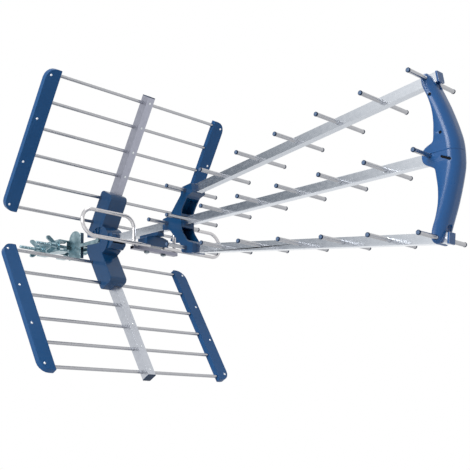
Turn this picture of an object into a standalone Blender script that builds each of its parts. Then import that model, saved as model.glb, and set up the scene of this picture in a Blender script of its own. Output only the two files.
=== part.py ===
"""Outdoor UHF television antenna: three booms of directors, a corner reflector, a folded dipole.

Frame: X points forward, to the transmitter; Y points left; Z points up. The origin is on the
clamp's axis, between its two jaws, level with the middle boom. Units are metres.
"""
import math

import bmesh
import bpy
from mathutils import Matrix, Vector

MM = 0.001
GAP = 0.3 * MM             # clearance between pieces that touch

# Booms: three rectangular aluminium tubes
BOOM_H = 20.0 * MM
BOOM_W = 18.0 * MM
BOOM_WALL = 1.5 * MM
BOOM_TILT = math.radians(7.42)      # the outer booms rise and fall towards the front
OUTER_BOOM_Z = 67.3 * MM            # height of an outer boom at its first director
MIDDLE_BOOM_REAR = 200.0 * MM
BOOM_OVERHANG = (8.0 * MM, 16.8 * MM)   # the middle and the outer booms, ahead of their last director
BOOM_PLUG = 4.2 * MM                # thickness of the plug on an outer boom's front end
BOOM_PLUG_DEPTH = 9.0 * MM
BOOM_PLUG_RIM = 1.4 * MM            # its rim stands this far outside the tube

# Directors: short tubes with a plastic plug in each end, pushed through the booms
DIRECTOR_LENGTH = 160.0 * MM
DIRECTOR_R = 4.4 * MM
CAP_R = 4.8 * MM
CAP_LENGTH = 3.0 * MM
FIRST_DIRECTOR_X = 491.5 * MM
DIRECTOR_PITCH = 107.8 * MM
DIRECTOR_COUNT = 7
EXTRA_DIRECTOR_BACK = 60.0 * MM     # the middle boom's extra director, behind its first one

# Corner reflector: two panels of rods that open forward like the sign <
LEAN = math.radians(29.0)           # lean of a panel, forward from the vertical
INNER_ROD_X = 161.1 * MM
INNER_ROD_Z = 51.7 * MM
ROD_PITCH = 64.4 * MM
ROD_COUNT = 6
ROD_R = 4.0 * MM
ROD_SEAT = 12.0 * MM                # how far a rod's end goes into its rail

BAR_W = 22.0 * MM                   # centre bar, along Y
BAR_D = 24.0 * MM                   # centre bar, along the panel's normal
BAR_WALL = 1.6 * MM
BAR_BEHIND = 6.2 * MM               # the bar's rear face, behind the rods' axes
BAR_START = 22.0 * MM
BAR_END_MARGIN = 17.5 * MM
BAR_SIDE = 12.0 * MM                # the centre bars stand this far left of the booms' plane
PLUG_FLANGE = 2.0 * MM
PLUG_DEPTH = 12.0 * MM

RAIL_INNER_Y = 250.0 * MM
RAIL_WIDTH = 38.0 * MM
RAIL_THICK = 13.0 * MM
RAIL_WALL = 2.6 * MM
RAIL_FRONT = 6.5 * MM               # the rail's front face, ahead of the rods' axes
RAIL_END_MARGIN = 12.0 * MM
RAIL_CORNER = 26.0 * MM
RAIL_BEVEL = 2.6 * MM
RAIL_BOSS = 15.0 * MM

# Hub: the moulding that joins the reflector, the middle boom and the steel bracket
HUB_W = 52.0 * MM
HUB_REAR_X = 139.0 * MM
HUB_BEHIND = 6.0 * MM
HUB_AHEAD = 41.0 * MM
HUB_ARM_END = 84.0 * MM
HUB_ROUND = 12.0 * MM
HUB_EDGE = 2.5 * MM
COLLAR_FRONT_X = 233.0 * MM
COLLAR_W = 44.0 * MM
COLLAR_H = 50.0 * MM
COLLAR_WALL = 3.2 * MM
COLLAR_DEPTH = 27.0 * MM
COLLAR_LIP = 10.0 * MM

# Tilt hinge between the hub and the bracket's tongue; its axis is parallel to Y
HINGE_X = 184.0 * MM
HINGE_R = 37.0 * MM                 # the hub's round cheek about the hinge
TILT_MAX = math.radians(12.0)
TONGUE_H = 8.0 * MM
TONGUE_W = 45.0 * MM
EYE_R = 7.0 * MM
PIN_R = 3.0 * MM
PIN_HEAD_R = 6.0 * MM
PIN_HEAD_T = 3.5 * MM
TILT_CLEAR = 0.7 * MM
FAN_RIBS = 3
FAN_DEPTH = 3.0 * MM
FAN_INNER = 14.0 * MM
FAN_WALL = 4.0 * MM

# Yoke: the moulding that spreads the outer booms from the middle one
YOKE_W = 41.0 * MM
YOKE_WALL = 2.8 * MM
NOSE_LENGTH = 77.0 * MM
KNOB_REAR = 16.0 * MM               # a knob behind and ahead of its director, along the boom
KNOB_FRONT = 22.0 * MM
KNOB_LIP = 1.2 * MM                 # a knob stands this far above and below its boom
TENON = 32.0 * MM

# Front bracket: the bow that holds the three booms' front ends
BOW_W = 50.0 * MM
BOW_WALL = 3.0 * MM
BOW_ROUND = 20.0 * MM
BOW_LIP = 2.0 * MM                  # the bow's ends stand this far above and below the outer booms
BOW_END_ROUND = 13.0 * MM
NOSE_BACK = 17.3 * MM               # the nose's rear face, behind the last middle director
BOW_DEPTH = 72.5 * MM
HOLE_R = 2.9 * MM
HOLE_HIGH = 0.716                   # heights of two drilled holes, as shares of the bow's half height
HOLE_LOW = 0.238
HOLE_INSET_HIGH = 9.0 * MM
HOLE_INSET_LOW = 18.0 * MM
SLOT_BACK = 22.5 * MM               # the slot's middle, behind the bow's front
SLOT_Z = -10.5 * MM
SLOT_L = 22.0 * MM
SLOT_H = 4.0 * MM
SLOT_SLANT = math.radians(18.0)
HOLLOW_FROM = 23.0 * MM
HOLLOW_END_WALL = 42.0 * MM         # solid length at each end of the bow
SEAM_Z = 8.0 * MM
SEAM = 0.7 * MM
SCREW_FROM_END = 27.0 * MM          # the two locking screws, from the bow's ends
SCREW_HEAD_R = 5.0 * MM
SCREW_HEAD_T = 4.0 * MM
SCREW_SHANK_R = 2.5 * MM
SCREW_SHANK = 8.0 * MM
SCREW_SEAT = 7.0 * MM               # depth of a screw's seat behind the bracket's front face
SCREW_CLEAR = 2.6 * MM
COIN_SLOT = 1.6 * MM                # width and depth of the slot across a screw's head

# Folded dipole
DIPOLE_X = 371.0 * MM
DIPOLE_R = 4.3 * MM
DIPOLE_HALF = 217.0 * MM            # to the tube's centre line at its outer bend
DIPOLE_LOW_Z = -43.5 * MM
DIPOLE_TOP_Z = 19.0 * MM
DIPOLE_LEG_Y = 64.0 * MM
DIPOLE_LEG_BACK = 8.0 * MM          # the upper run and the leg stand behind the lower run
LEG_BEND = 27.0 * MM
BOX_REAR_X = 343.0 * MM
BOX_FRONT_X = 375.0 * MM
BOX_W = 68.0 * MM
BOX_BOTTOM = -43.0 * MM
BOX_SHOULDER = -24.0 * MM           # the box's top at its two ends
BOX_TOP = -19.0 * MM                # and at its middle
BOX_TOP_HALF = 16.0 * MM
BOX_WALL = 2.4 * MM
BOX_EDGE = 2.5 * MM
LID_T = 9.0 * MM
SADDLE_W = 20.0 * MM                # the saddle between the box and the boom
SADDLE_REAR_X = 322.0 * MM
SADDLE_FRONT_X = 386.0 * MM
STRAP_H = 8.0 * MM
STRAP_D = 14.0 * MM
STRAP_W = 138.0 * MM
STRAP_WALL = 1.4 * MM

# Clamp: two jaws with toothed notches
CLAMP_Z = 8.0 * MM
GRIP_R = 16.4 * MM                  # radius of the grip that the jaws are closed to
JAW_V = math.radians(40.0)          # slope of the jaws' notches
JAW_HALF = 49.0 * MM
JAW_H = 30.0 * MM
JAW_STEEL = 2.5 * MM
JAW_BACK = 44.0 * MM                # a jaw's outer face, from the clamp's axis
JAW_CHEEK = 18.0 * MM               # the flanges' edge at their ends, from the axis
NOTCH_HALF = 20.0 * MM
TOOTH = 2.4 * MM
TEETH = 6                           # on each side of a notch
BOLT_X = 35.0 * MM
BOLT_R = 4.0 * MM
BOLT_END_Y = -106.0 * MM
BOLT_HEAD_R = 9.0 * MM
BOLT_HEAD_T = 4.5 * MM

# Steel bracket between the clamp and the hub
BRACKET_STEEL = 2.5 * MM
CHEEK_Y = 20.0 * MM                 # inner face of a cheek
CHEEK_REAR_X = 61.0 * MM
CHEEK_FRONT_X = 107.0 * MM
CHEEK_TOP = 41.0 * MM
CHEEK_BOTTOM = -33.0 * MM
FLANGE_REACH = 7.0 * MM             # inwards, across the cheek's front edge
FLANGE_TOP = 33.0 * MM
SEAT_H = 25.0 * MM                  # the plate behind the fixed jaw

# Wing nuts
NUT_R = 7.5 * MM
NUT_T = 15.0 * MM
WING_SPAN = 23.0 * MM
WING_REACH = 30.0 * MM
WING_T = 5.0 * MM
WING_TIP = 9.0 * MM

SIDES = 10                          # sides of the thin round pieces


def clear_scene():
    for old in list(bpy.data.objects):
        bpy.data.objects.remove(old, do_unlink=True)


def material(name, colour, roughness, metallic):
    mat = bpy.data.materials.new(name)
    mat.use_nodes = True
    shader = mat.node_tree.nodes["Principled BSDF"]
    shader.inputs["Base Color"].default_value = (*colour, 1.0)
    shader.inputs["Roughness"].default_value = roughness
    shader.inputs["Metallic"].default_value = metallic
    mat.diffuse_color = (*colour, 1.0)
    return mat


def add_object(name, bm, mat, origin=(0, 0, 0)):
    """Turn a bmesh into a named object with its own material and its origin at a point."""
    bmesh.ops.recalc_face_normals(bm, faces=bm.faces)
    bmesh.ops.translate(bm, verts=bm.verts, vec=-Vector(origin))
    mesh = bpy.data.meshes.new(name)
    bm.to_mesh(mesh)
    bm.free()
    mesh.shade_smooth()
    mesh.set_sharp_from_angle(angle=math.radians(32))
    own = mat.copy()
    own.name = name + "_material"
    mesh.materials.append(own)
    return add_copy(name, mesh, origin)


def add_copy(name, mesh, origin):
    """Place a mesh as a named object."""
    obj = bpy.data.objects.new(name, mesh)
    bpy.context.scene.collection.objects.link(obj)
    obj.location = origin
    return obj


def cutter(name, bm):
    """A hidden solid that a Boolean modifier subtracts."""
    bmesh.ops.recalc_face_normals(bm, faces=bm.faces)
    mesh = bpy.data.meshes.new(name)
    bm.to_mesh(mesh)
    bm.free()
    obj = bpy.data.objects.new(name, mesh)
    bpy.context.scene.collection.objects.link(obj)
    obj.hide_render = True
    obj.display_type = "WIRE"
    return obj


def boolean(obj, tool, operation="DIFFERENCE"):
    mod = obj.modifiers.new(tool.name, "BOOLEAN")
    mod.operation = operation
    mod.solver = "EXACT"
    mod.object = tool


def prism(points, lo, hi, place):
    """Close a polygon's outline into a solid between lo and hi; place maps (a, b, depth)."""
    bm = bmesh.new()
    low = [bm.verts.new(place(a, b, lo)) for a, b in points]
    high = [bm.verts.new(place(a, b, hi)) for a, b in points]
    bm.faces.new(low)
    bm.faces.new(list(reversed(high)))
    for i in range(len(points)):
        j = (i + 1) % len(points)
        bm.faces.new((low[i], high[i], high[j], low[j]))
    return bm


def along_y(a, b, d):
    return Vector((a, d, b))


def along_z(a, b, d):
    return Vector((a, b, d))


def along_x(a, b, d):
    return Vector((d, a, b))


def box_mesh(low, high, matrix=None, into=None):
    bm = into or bmesh.new()
    size = [h - l for l, h in zip(low, high)]
    mid = [(h + l) / 2 for l, h in zip(low, high)]
    place = Matrix.Translation(mid) @ Matrix.Diagonal((*size, 1.0))
    if matrix is not None:
        place = matrix @ place
    bmesh.ops.create_cube(bm, size=1.0, matrix=place)
    return bm


def rod_mesh(radius, start, end, sides=SIDES, into=None):
    """A solid cylinder from start to end."""
    bm = into or bmesh.new()
    start, end = Vector(start), Vector(end)
    run = end - start
    place = Matrix.Translation((start + end) / 2) @ run.to_track_quat("Z", "Y").to_matrix().to_4x4()
    bmesh.ops.create_cone(bm, cap_ends=True, segments=sides, radius1=radius, radius2=radius,
                          depth=run.length, matrix=place)
    return bm


def turned_mesh(profile, origin, axis, sides=SIDES):
    """Turn a profile of (radius, distance along the axis) about the axis."""
    bm = bmesh.new()
    frame = Matrix.Translation(origin) @ Vector(axis).to_track_quat("Z", "Y").to_matrix().to_4x4()
    rings = []
    for radius, reach in profile:
        if radius == 0:
            rings.append([bm.verts.new(frame @ Vector((0, 0, reach)))])
            continue
        ring = []
        for k in range(sides):
            turn = 2 * math.pi * k / sides
            ring.append(bm.verts.new(
                frame @ Vector((radius * math.cos(turn), radius * math.sin(turn), reach))))
        rings.append(ring)
    for one, two in zip(rings, rings[1:]):
        for k in range(sides):
            n = (k + 1) % sides
            if len(one) == 1:
                bm.faces.new((one[0], two[n], two[k]))
            elif len(two) == 1:
                bm.faces.new((one[k], one[n], two[0]))
            else:
                bm.faces.new((one[k], one[n], two[n], two[k]))
    return bm


def fillet(points, radii, steps=4):
    """Round a polygon's corners. A radius of 0 keeps the corner sharp."""
    out = []
    count = len(points)
    for i, (point, radius) in enumerate(zip(points, radii)):
        here = Vector(point)
        if radius <= 0:
            out.append(tuple(here))
            continue
        back = (Vector(points[i - 1]) - here).normalized()
        on = (Vector(points[(i + 1) % count]) - here).normalized()
        half = back.angle(on) / 2
        reach = radius / math.tan(half)
        centre = here + (back + on).normalized() * (radius / math.sin(half))
        first = here + back * reach - centre
        last = here + on * reach - centre
        sweep = first.angle_signed(last)
        for k in range(steps + 1):
            turn = -sweep * k / steps
            c, s = math.cos(turn), math.sin(turn)
            out.append((centre.x + first.x * c - first.y * s, centre.y + first.x * s + first.y * c))
    return out


# The panels' own frame: s runs up the panel from the innermost rod, o ahead of the rods' axes

def panel_frame(side):
    """Matrix from (o, y, s) to the world for the upper (1) or the lower (-1) panel."""
    up = Vector((math.sin(LEAN), 0, side * math.cos(LEAN)))
    ahead = Vector((math.cos(LEAN), 0, -side * math.sin(LEAN)))
    frame = Matrix.Identity(4)
    frame.col[0][:3] = ahead
    frame.col[1][:3] = (0, 1, 0)
    frame.col[2][:3] = up
    frame.translation = (INNER_ROD_X, 0, side * INNER_ROD_Z)
    return frame


def panel_point(side, s, o=0.0, y=0.0):
    return panel_frame(side) @ Vector((o, y, s))


def rod_heights():
    return [ROD_PITCH * k for k in range(ROD_COUNT)]


# The booms' own frame: u runs along the boom from its first director

def boom_frame(level):
    """Matrix of the upper (1), middle (0) or lower (-1) boom; its X runs along the boom."""
    tilt = Matrix.Rotation(-level * BOOM_TILT, 4, "Y")
    return Matrix.Translation((FIRST_DIRECTOR_X, 0, level * OUTER_BOOM_Z)) @ tilt


def director_runs(level):
    """Distances along the boom of its directors, so that all boom's directors line up in X."""
    slope = math.cos(BOOM_TILT) if level else 1.0
    runs = [DIRECTOR_PITCH * k / slope for k in range(DIRECTOR_COUNT)]
    if level == 0:
        runs.insert(0, -EXTRA_DIRECTOR_BACK)
    return runs


def boom_rear(level):
    return KNOB_FRONT + GAP if level else MIDDLE_BOOM_REAR - FIRST_DIRECTOR_X


def boom_front(level):
    return director_runs(level)[-1] + BOOM_OVERHANG[abs(level)]


def boom_hole(level, u_from, u_to, name):
    """The space a boom takes up, with its clearance, as a cutter."""
    half_w, half_h = BOOM_W / 2 + GAP, BOOM_H / 2 + GAP
    return cutter(name, box_mesh((u_from, -half_w, -half_h), (u_to, half_w, half_h),
                                 boom_frame(level)))


def director_hole(level, index, name):
    centre = boom_frame(level) @ Vector((director_runs(level)[index], 0, 0))
    reach = Vector((0, DIRECTOR_LENGTH / 2, 0))
    return cutter(name, rod_mesh(DIRECTOR_R + GAP, centre - reach, centre + reach))


def make_booms(mat):
    for level, word in ((1, "upper"), (0, "middle"), (-1, "lower")):
        frame = boom_frame(level)
        rear, front = boom_rear(level), boom_front(level)
        tube = add_object(f"{word}_boom", box_mesh(
            (rear, -BOOM_W / 2, -BOOM_H / 2), (front, BOOM_W / 2, BOOM_H / 2), frame), mat)
        inside = box_mesh((rear - 1 * MM, -BOOM_W / 2 + BOOM_WALL, -BOOM_H / 2 + BOOM_WALL),
                          (front + 1 * MM, BOOM_W / 2 - BOOM_WALL, BOOM_H / 2 - BOOM_WALL), frame)
        boolean(tube, cutter(f"{word}_boom_inside", inside))
        holes = bmesh.new()
        for run in director_runs(level):
            if run < rear:
                continue
            centre = frame @ Vector((run, 0, 0))
            reach = Vector((0, BOOM_W, 0))
            rod_mesh(DIRECTOR_R + GAP, centre - reach, centre + reach, into=holes)
        boolean(tube, cutter(f"{word}_boom_holes", holes))
        if level:
            half_w, half_h = BOOM_W / 2 - BOOM_WALL / 2, BOOM_H / 2 - BOOM_WALL / 2
            spigot = box_mesh((front - BOOM_PLUG_DEPTH, -half_w, -half_h),
                              (front + BOOM_PLUG / 2, half_w, half_h), frame)
            boolean(tube, cutter(f"{word}_boom_spigot", spigot), "UNION")
            half_w, half_h = BOOM_W / 2 + BOOM_PLUG_RIM, BOOM_H / 2 + BOOM_PLUG_RIM / 2
            boolean(tube, cutter(f"{word}_boom_plug", box_mesh(
                (front, -half_w, -half_h), (front + BOOM_PLUG, half_w, half_h), frame)), "UNION")


def make_directors(mat):
    half = DIRECTOR_LENGTH / 2
    profile = [(0, -half), (CAP_R, -half), (CAP_R, -half + CAP_LENGTH), (DIRECTOR_R, -half + CAP_LENGTH),
               (DIRECTOR_R, half - CAP_LENGTH), (CAP_R, half - CAP_LENGTH), (CAP_R, half), (0, half)]
    mesh = None
    for level, word in ((1, "upper"), (0, "middle"), (-1, "lower")):
        for index, run in enumerate(director_runs(level)):
            name = f"{word}_director_{index + (1 if level else 0)}"
            centre = boom_frame(level) @ Vector((run, 0, 0))
            if mesh is None:
                bm = turned_mesh(profile, centre, (0, 1, 0))
                mesh = add_object(name, bm, mat, centre).data
                mesh.name = "director"
            else:
                add_copy(name, mesh, centre)


def make_rods(mat):
    reach = Vector((0, RAIL_INNER_Y + ROD_SEAT, 0))
    mesh = None
    for side, word in ((1, "upper"), (-1, "lower")):
        for index, s in enumerate(rod_heights()):
            name = f"{word}_reflector_rod_{index + 1}"
            centre = panel_point(side, s)
            if mesh is None:
                bm = rod_mesh(ROD_R, centre - reach, centre + reach)
                mesh = add_object(name, bm, mat, centre).data
                mesh.name = "reflector_rod"
            else:
                add_copy(name, mesh, centre)


def rod_holes(side, name, indices, y_from, y_to):
    bm = bmesh.new()
    for index in indices:
        centre = panel_point(side, rod_heights()[index])
        rod_mesh(ROD_R + GAP, centre + Vector((0, y_from, 0)), centre + Vector((0, y_to, 0)), into=bm)
    return cutter(name, bm)


def bar_end():
    return rod_heights()[-1] + BAR_END_MARGIN


def make_centre_bars(mat):
    for side, word in ((1, "upper"), (-1, "lower")):
        frame = panel_frame(side)
        rear, front = -BAR_BEHIND, BAR_D - BAR_BEHIND
        bar = add_object(f"{word}_centre_bar", box_mesh(
            (rear, BAR_SIDE - BAR_W / 2, BAR_START),
            (front, BAR_SIDE + BAR_W / 2, bar_end()), frame), mat)
        boolean(bar, cutter(f"{word}_bar_inside", box_mesh(
            (rear + BAR_WALL, BAR_SIDE - BAR_W / 2 + BAR_WALL, BAR_START - 1 * MM),
            (front - BAR_WALL, BAR_SIDE + BAR_W / 2 - BAR_WALL, bar_end() + 1 * MM), frame)))
        boolean(bar, rod_holes(side, f"{word}_bar_holes", range(1, ROD_COUNT),
                               BAR_SIDE - BAR_W, BAR_SIDE + BAR_W))
        # the end plug: a spigot inside the bar and a flange over its end
        boolean(bar, cutter(f"{word}_bar_plug", box_mesh(
            (rear + 1 * MM, BAR_SIDE - BAR_W / 2 + 1 * MM, bar_end() - PLUG_DEPTH),
            (front - 1 * MM, BAR_SIDE + BAR_W / 2 - 1 * MM, bar_end() + PLUG_FLANGE), frame)), "UNION")


def rail_outline(length):
    """The rail's outline as (y out from its inner edge, s), straight inside, round outside."""
    low = -RAIL_END_MARGIN
    high = length + RAIL_END_MARGIN
    corners = [(0, low), (0, high), (RAIL_WIDTH, high), (RAIL_WIDTH, low)]
    return fillet(corners, [1.5 * MM, 1.5 * MM, RAIL_CORNER, RAIL_CORNER], steps=5)


def make_rails(mat):
    top = rod_heights()[-1]
    for side, word in ((1, "upper"), (-1, "lower")):
        frame = panel_frame(side)
        for hand, hand_word in ((1, "left"), (-1, "right")):
            name = f"{word}_{hand_word}_rail"

            def place(y, s, o, frame=frame, hand=hand):
                return frame @ Vector((o, hand * (RAIL_INNER_Y + y), s))

            outline = rail_outline(top)
            front, rear = RAIL_FRONT, RAIL_FRONT - RAIL_THICK
            bm = prism(outline, rear, front - RAIL_BEVEL, place)
            crown = [v for v in bm.verts
                     if abs((frame.inverted() @ v.co).x - (front - RAIL_BEVEL)) < 0.01 * MM]
            face = next(f for f in bm.faces if all(v in crown for v in f.verts))
            bmesh.ops.inset_region(bm, faces=[face], thickness=RAIL_BEVEL * 1.5, use_even_offset=True)
            bmesh.ops.translate(bm, verts=face.verts, vec=frame.to_3x3() @ Vector((RAIL_BEVEL, 0, 0)))
            rail = add_object(name, bm, mat)
            pockets = bmesh.new()
            rods = rod_heights()
            bands = [(-RAIL_END_MARGIN + RAIL_WALL, rods[0] - RAIL_BOSS / 2)]
            bands += [(a + RAIL_BOSS / 2, b - RAIL_BOSS / 2) for a, b in zip(rods, rods[1:])]
            for low, high in bands[1:]:
                y_in, y_out = RAIL_WALL, RAIL_WIDTH - RAIL_WALL * 1.6
                ys = sorted((hand * (RAIL_INNER_Y + y_in), hand * (RAIL_INNER_Y + y_out)))
                box_mesh((rear - 1 * MM, ys[0], low), (front - RAIL_WALL, ys[1], high), frame, pockets)
            boolean(rail, cutter(f"{name}_pockets", pockets))
            reach = sorted((hand * (RAIL_INNER_Y - 5 * MM), hand * (RAIL_INNER_Y + ROD_SEAT + GAP)))
            boolean(rail, rod_holes(side, f"{name}_sockets", range(ROD_COUNT), *reach))


def hub_profile():
    """The hub's side outline in X and Z, upper half, from the rear to the front."""
    def at(s, o):
        point = panel_point(1, s, o)
        return point.x, point.z
    rear_low = (HUB_REAR_X, (HUB_REAR_X - at(0, -HUB_BEHIND)[0]) / math.tan(LEAN)
                + at(0, -HUB_BEHIND)[1])
    return [rear_low, at(HUB_ARM_END, -HUB_BEHIND), at(HUB_ARM_END, HUB_AHEAD), at(0, HUB_AHEAD)]


def mirrored(points):
    """Close an upper half outline with its mirror image in Z."""
    return points + [(x, -z) for x, z in reversed(points)]


def fan_sector(inner, outer, start, end):
    """Outline of a ring's sector about the hinge, in X and Z."""
    ring = smooth_arc((HINGE_X, 0), outer, start, end, 4)
    return ring + smooth_arc((HINGE_X, 0), inner, end, start, 3)


def tongue_swing():
    """Outline of the space that the tongue sweeps behind the hinge, from rest to full tilt."""
    half = TONGUE_H / 2 + TILT_CLEAR
    far = HINGE_X - HUB_REAR_X + 20 * MM
    c, s = math.cos(TILT_MAX), math.sin(TILT_MAX)
    eye = smooth_arc((HINGE_X, 0), EYE_R + TILT_CLEAR, math.radians(-110), math.radians(110), 8)
    return [(HINGE_X - far, -half)] + eye + [(HINGE_X - far * c + half * s, far * s + half * c)]


def make_hub(mat):
    upper = hub_profile()
    radii = [4 * MM, HUB_ROUND * 0.75, HUB_ROUND, 8 * MM]
    outline = fillet(mirrored(upper), radii + radii[::-1], steps=4)
    hub = add_object("hub", prism(outline, -HUB_W / 2, HUB_W / 2, along_y), mat, (HINGE_X, 0, 0))
    bevel = hub.modifiers.new("edges", "BEVEL")
    bevel.width = HUB_EDGE
    bevel.segments = 2
    bevel.limit_method = "ANGLE"
    bevel.angle_limit = math.radians(60)
    # the round cheek about the hinge, and the collar round the boom with its chamfered lip
    reach = Vector((0, HUB_W / 2 - 1 * MM, 0))
    hinge = Vector((HINGE_X, 0, 0))
    boolean(hub, cutter("hub_cheek", rod_mesh(HINGE_R, hinge - reach, hinge + reach, 40)), "UNION")
    lip = COLLAR_LIP - COLLAR_H / 2
    shoulder_x = COLLAR_FRONT_X - COLLAR_LIP
    top = BOOM_H / 2 + COLLAR_WALL
    collar = [(HINGE_X, top), (COLLAR_FRONT_X - COLLAR_WALL, top), (COLLAR_FRONT_X, top - COLLAR_WALL),
              (COLLAR_FRONT_X, lip), (shoulder_x, -COLLAR_H / 2), (HINGE_X, -COLLAR_H / 2)]
    boolean(hub, cutter("hub_collar", prism(collar, -COLLAR_W / 2, COLLAR_W / 2, along_y)), "UNION")
    hollow_w = COLLAR_W / 2 - COLLAR_WALL
    low = COLLAR_WALL - COLLAR_H / 2
    hollow = [(COLLAR_FRONT_X - COLLAR_DEPTH, 0), (COLLAR_FRONT_X + 1 * MM, 0),
              (COLLAR_FRONT_X + 1 * MM, lip + COLLAR_WALL), (shoulder_x, low),
              (COLLAR_FRONT_X - COLLAR_DEPTH, low)]
    boolean(hub, cutter("hub_mouth", prism(hollow, -hollow_w, hollow_w, along_y)))
    boolean(hub, boom_hole(0, boom_rear(0) - GAP, COLLAR_FRONT_X - FIRST_DIRECTOR_X + 5 * MM,
                           "hub_boom_socket"))
    for side, word in ((1, "upper"), (-1, "lower")):
        frame = panel_frame(side)
        boolean(hub, cutter(f"hub_{word}_bar_socket", box_mesh(
            (-BAR_BEHIND - GAP, BAR_SIDE - BAR_W / 2 - GAP, BAR_START - GAP),
            (BAR_D - BAR_BEHIND + GAP, BAR_SIDE + BAR_W / 2 + GAP, HUB_ARM_END + 20 * MM), frame)))
        boolean(hub, rod_holes(side, f"hub_{word}_rod_holes", range(2), -HUB_W, HUB_W))
    boolean(hub, cutter("hub_tongue_swing", prism(tongue_swing(), -HUB_W, HUB_W, along_y)))
    boolean(hub, cutter("hub_pin_bore", rod_mesh(PIN_R + GAP, hinge - reach * 2, hinge + reach * 2)))
    # a fan of ribs round the hinge, sunk into both sides
    fans = bmesh.new()
    first, last = math.radians(68), math.radians(140)
    step = (last - first) / FAN_RIBS
    for hand in (1, -1):
        for k in range(FAN_RIBS):
            start = first + step * k + math.radians(3)
            sector = fan_sector(FAN_INNER, HINGE_R - FAN_WALL, start, start + step - math.radians(6))
            ys = sorted((hand * (HUB_W / 2 + 1 * MM), hand * (HUB_W / 2 - FAN_DEPTH)))
            add_island(fans, prism(sector, *ys, along_y))
    boolean(hub, cutter("hub_fans", fans))


def add_island(bm, piece):
    """Move a closed piece into a mesh that holds several."""
    mesh = bpy.data.meshes.new("island")
    bmesh.ops.recalc_face_normals(piece, faces=piece.faces)
    piece.to_mesh(mesh)
    piece.free()
    bm.from_mesh(mesh)
    bpy.data.meshes.remove(mesh)


def knob_point(u, w):
    point = boom_frame(1) @ Vector((u, 0, w))
    return point.x, point.z


def yoke_outline():
    """The yoke's side outline in X and Z, upper half, from its nose to its waist."""
    first = FIRST_DIRECTOR_X
    nose = BOOM_H / 2 + YOKE_WALL
    half = BOOM_H / 2 + KNOB_LIP
    low = OUTER_BOOM_Z - half
    return [(first - NOSE_LENGTH, nose), (first - 53 * MM, nose + 4 * MM),
            knob_point(-KNOB_REAR, -half * 0.5), knob_point(-KNOB_REAR + 3 * MM, half),
            knob_point(KNOB_FRONT, half), knob_point(KNOB_FRONT, -half),
            (first + 6 * MM, low - 3 * MM), (first - 14.5 * MM, low * 0.42), (first - 14.5 * MM, 0.1 * MM)]


def make_yoke(mat):
    upper = yoke_outline()
    radii = [3 * MM, 8 * MM, 8 * MM, 7 * MM, 2 * MM, 1 * MM, 10 * MM, 26 * MM, 0]
    outline = fillet(mirrored(upper), radii + radii[::-1], steps=4)
    yoke = add_object("rear_yoke", prism(outline, -YOKE_W / 2, YOKE_W / 2, along_y), mat)
    (rear_x, rear_z), (top_x, top_z) = upper[1:3]
    low = BOOM_H / 2 + YOKE_WALL + 3 * MM
    high = OUTER_BOOM_Z - BOOM_H / 2 - KNOB_LIP - YOKE_WALL - 4 * MM

    def behind(z):
        """The pocket's rear wall, parallel to the yoke's rear edge."""
        return rear_x + (top_x - rear_x) * (z - rear_z) / (top_z - rear_z) + YOKE_WALL * 1.6

    hollows = bmesh.new()
    for side in (1, -1):
        ahead = FIRST_DIRECTOR_X + 30 * MM
        ring = [(behind(low), low), (behind(high), high), (ahead, high), (ahead, low)]
        points = [(x, side * z) for x, z in ring]
        add_island(hollows, prism(points, -YOKE_W / 2 + YOKE_WALL, YOKE_W / 2 - YOKE_WALL, along_y))
    boolean(yoke, cutter("yoke_hollows", hollows))
    boolean(yoke, boom_hole(0, -NOSE_LENGTH - 10 * MM, 60 * MM, "yoke_middle_boom"))
    boolean(yoke, director_hole(0, 0, "yoke_extra_director"))
    inset = BOOM_WALL + GAP
    for level, word in ((1, "upper"), (-1, "lower")):
        tenon = box_mesh((0, -BOOM_W / 2 + inset, -BOOM_H / 2 + inset),
                         (KNOB_FRONT + TENON, BOOM_W / 2 - inset, BOOM_H / 2 - inset), boom_frame(level))
        boolean(yoke, cutter(f"yoke_{word}_tenon", tenon), "UNION")
        boolean(yoke, director_hole(level, 0, f"yoke_{word}_director"))


# Front bracket: rings round Z, each with a flat rear and sides and two rounded front edges. A curve
# gives the depth ahead of the nose, or behind the front: height in hundredths of the bow's half
# height, then depth in hundredths of the bow's depth.

BOW_REAR = ((0, 0), (5, 2), (8.5, 7), (11, 15), (13, 26), (15, 33), (18, 36), (26, 38), (39, 40), (55, 37),
            (70, 28), (85, 15), (100, 11))
BOW_FRONT = ((0, 0), (15, 2), (30, 10), (46, 21), (61, 33), (76, 47), (86, 56), (92, 63), (96, 68), (100, 72))


def bow_half_height():
    return (boom_frame(1) @ Vector((director_runs(1)[-1], 0, BOOM_H / 2))).z + BOW_LIP


def bow_x():
    """The bow's rear face, at its nose."""
    return FIRST_DIRECTOR_X + director_runs(0)[-1] - NOSE_BACK


def follow(table, height):
    """Read a curve through a table of (height, depth), with smooth joins."""
    z = min(abs(height) / bow_half_height() * 100, table[-1][0])
    last = len(table) - 1
    i = next(k for k in range(last) if z <= table[k + 1][0])
    (z0, x0), (z1, x1) = table[i], table[i + 1]
    before = table[i - 1] if i else (-table[1][0], table[1][1])
    after = table[i + 2] if i + 2 <= last else (2 * z1 - z0, 2 * x1 - x0)
    run = z1 - z0
    m0 = (x1 - before[1]) / (z1 - before[0]) * run
    m1 = (after[1] - x0) / (after[0] - z0) * run
    t = (z - z0) / run
    return BOW_DEPTH / 100 * ((2 * t**3 - 3 * t**2 + 1) * x0 + (t**3 - 2 * t**2 + t) * m0
                              + (3 * t**2 - 2 * t**3) * x1 + (t**3 - t**2) * m1)


def bow_rear(height):
    return bow_x() + follow(BOW_REAR, height)


def bow_front(height):
    return bow_x() + BOW_DEPTH - follow(BOW_FRONT, height)


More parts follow.
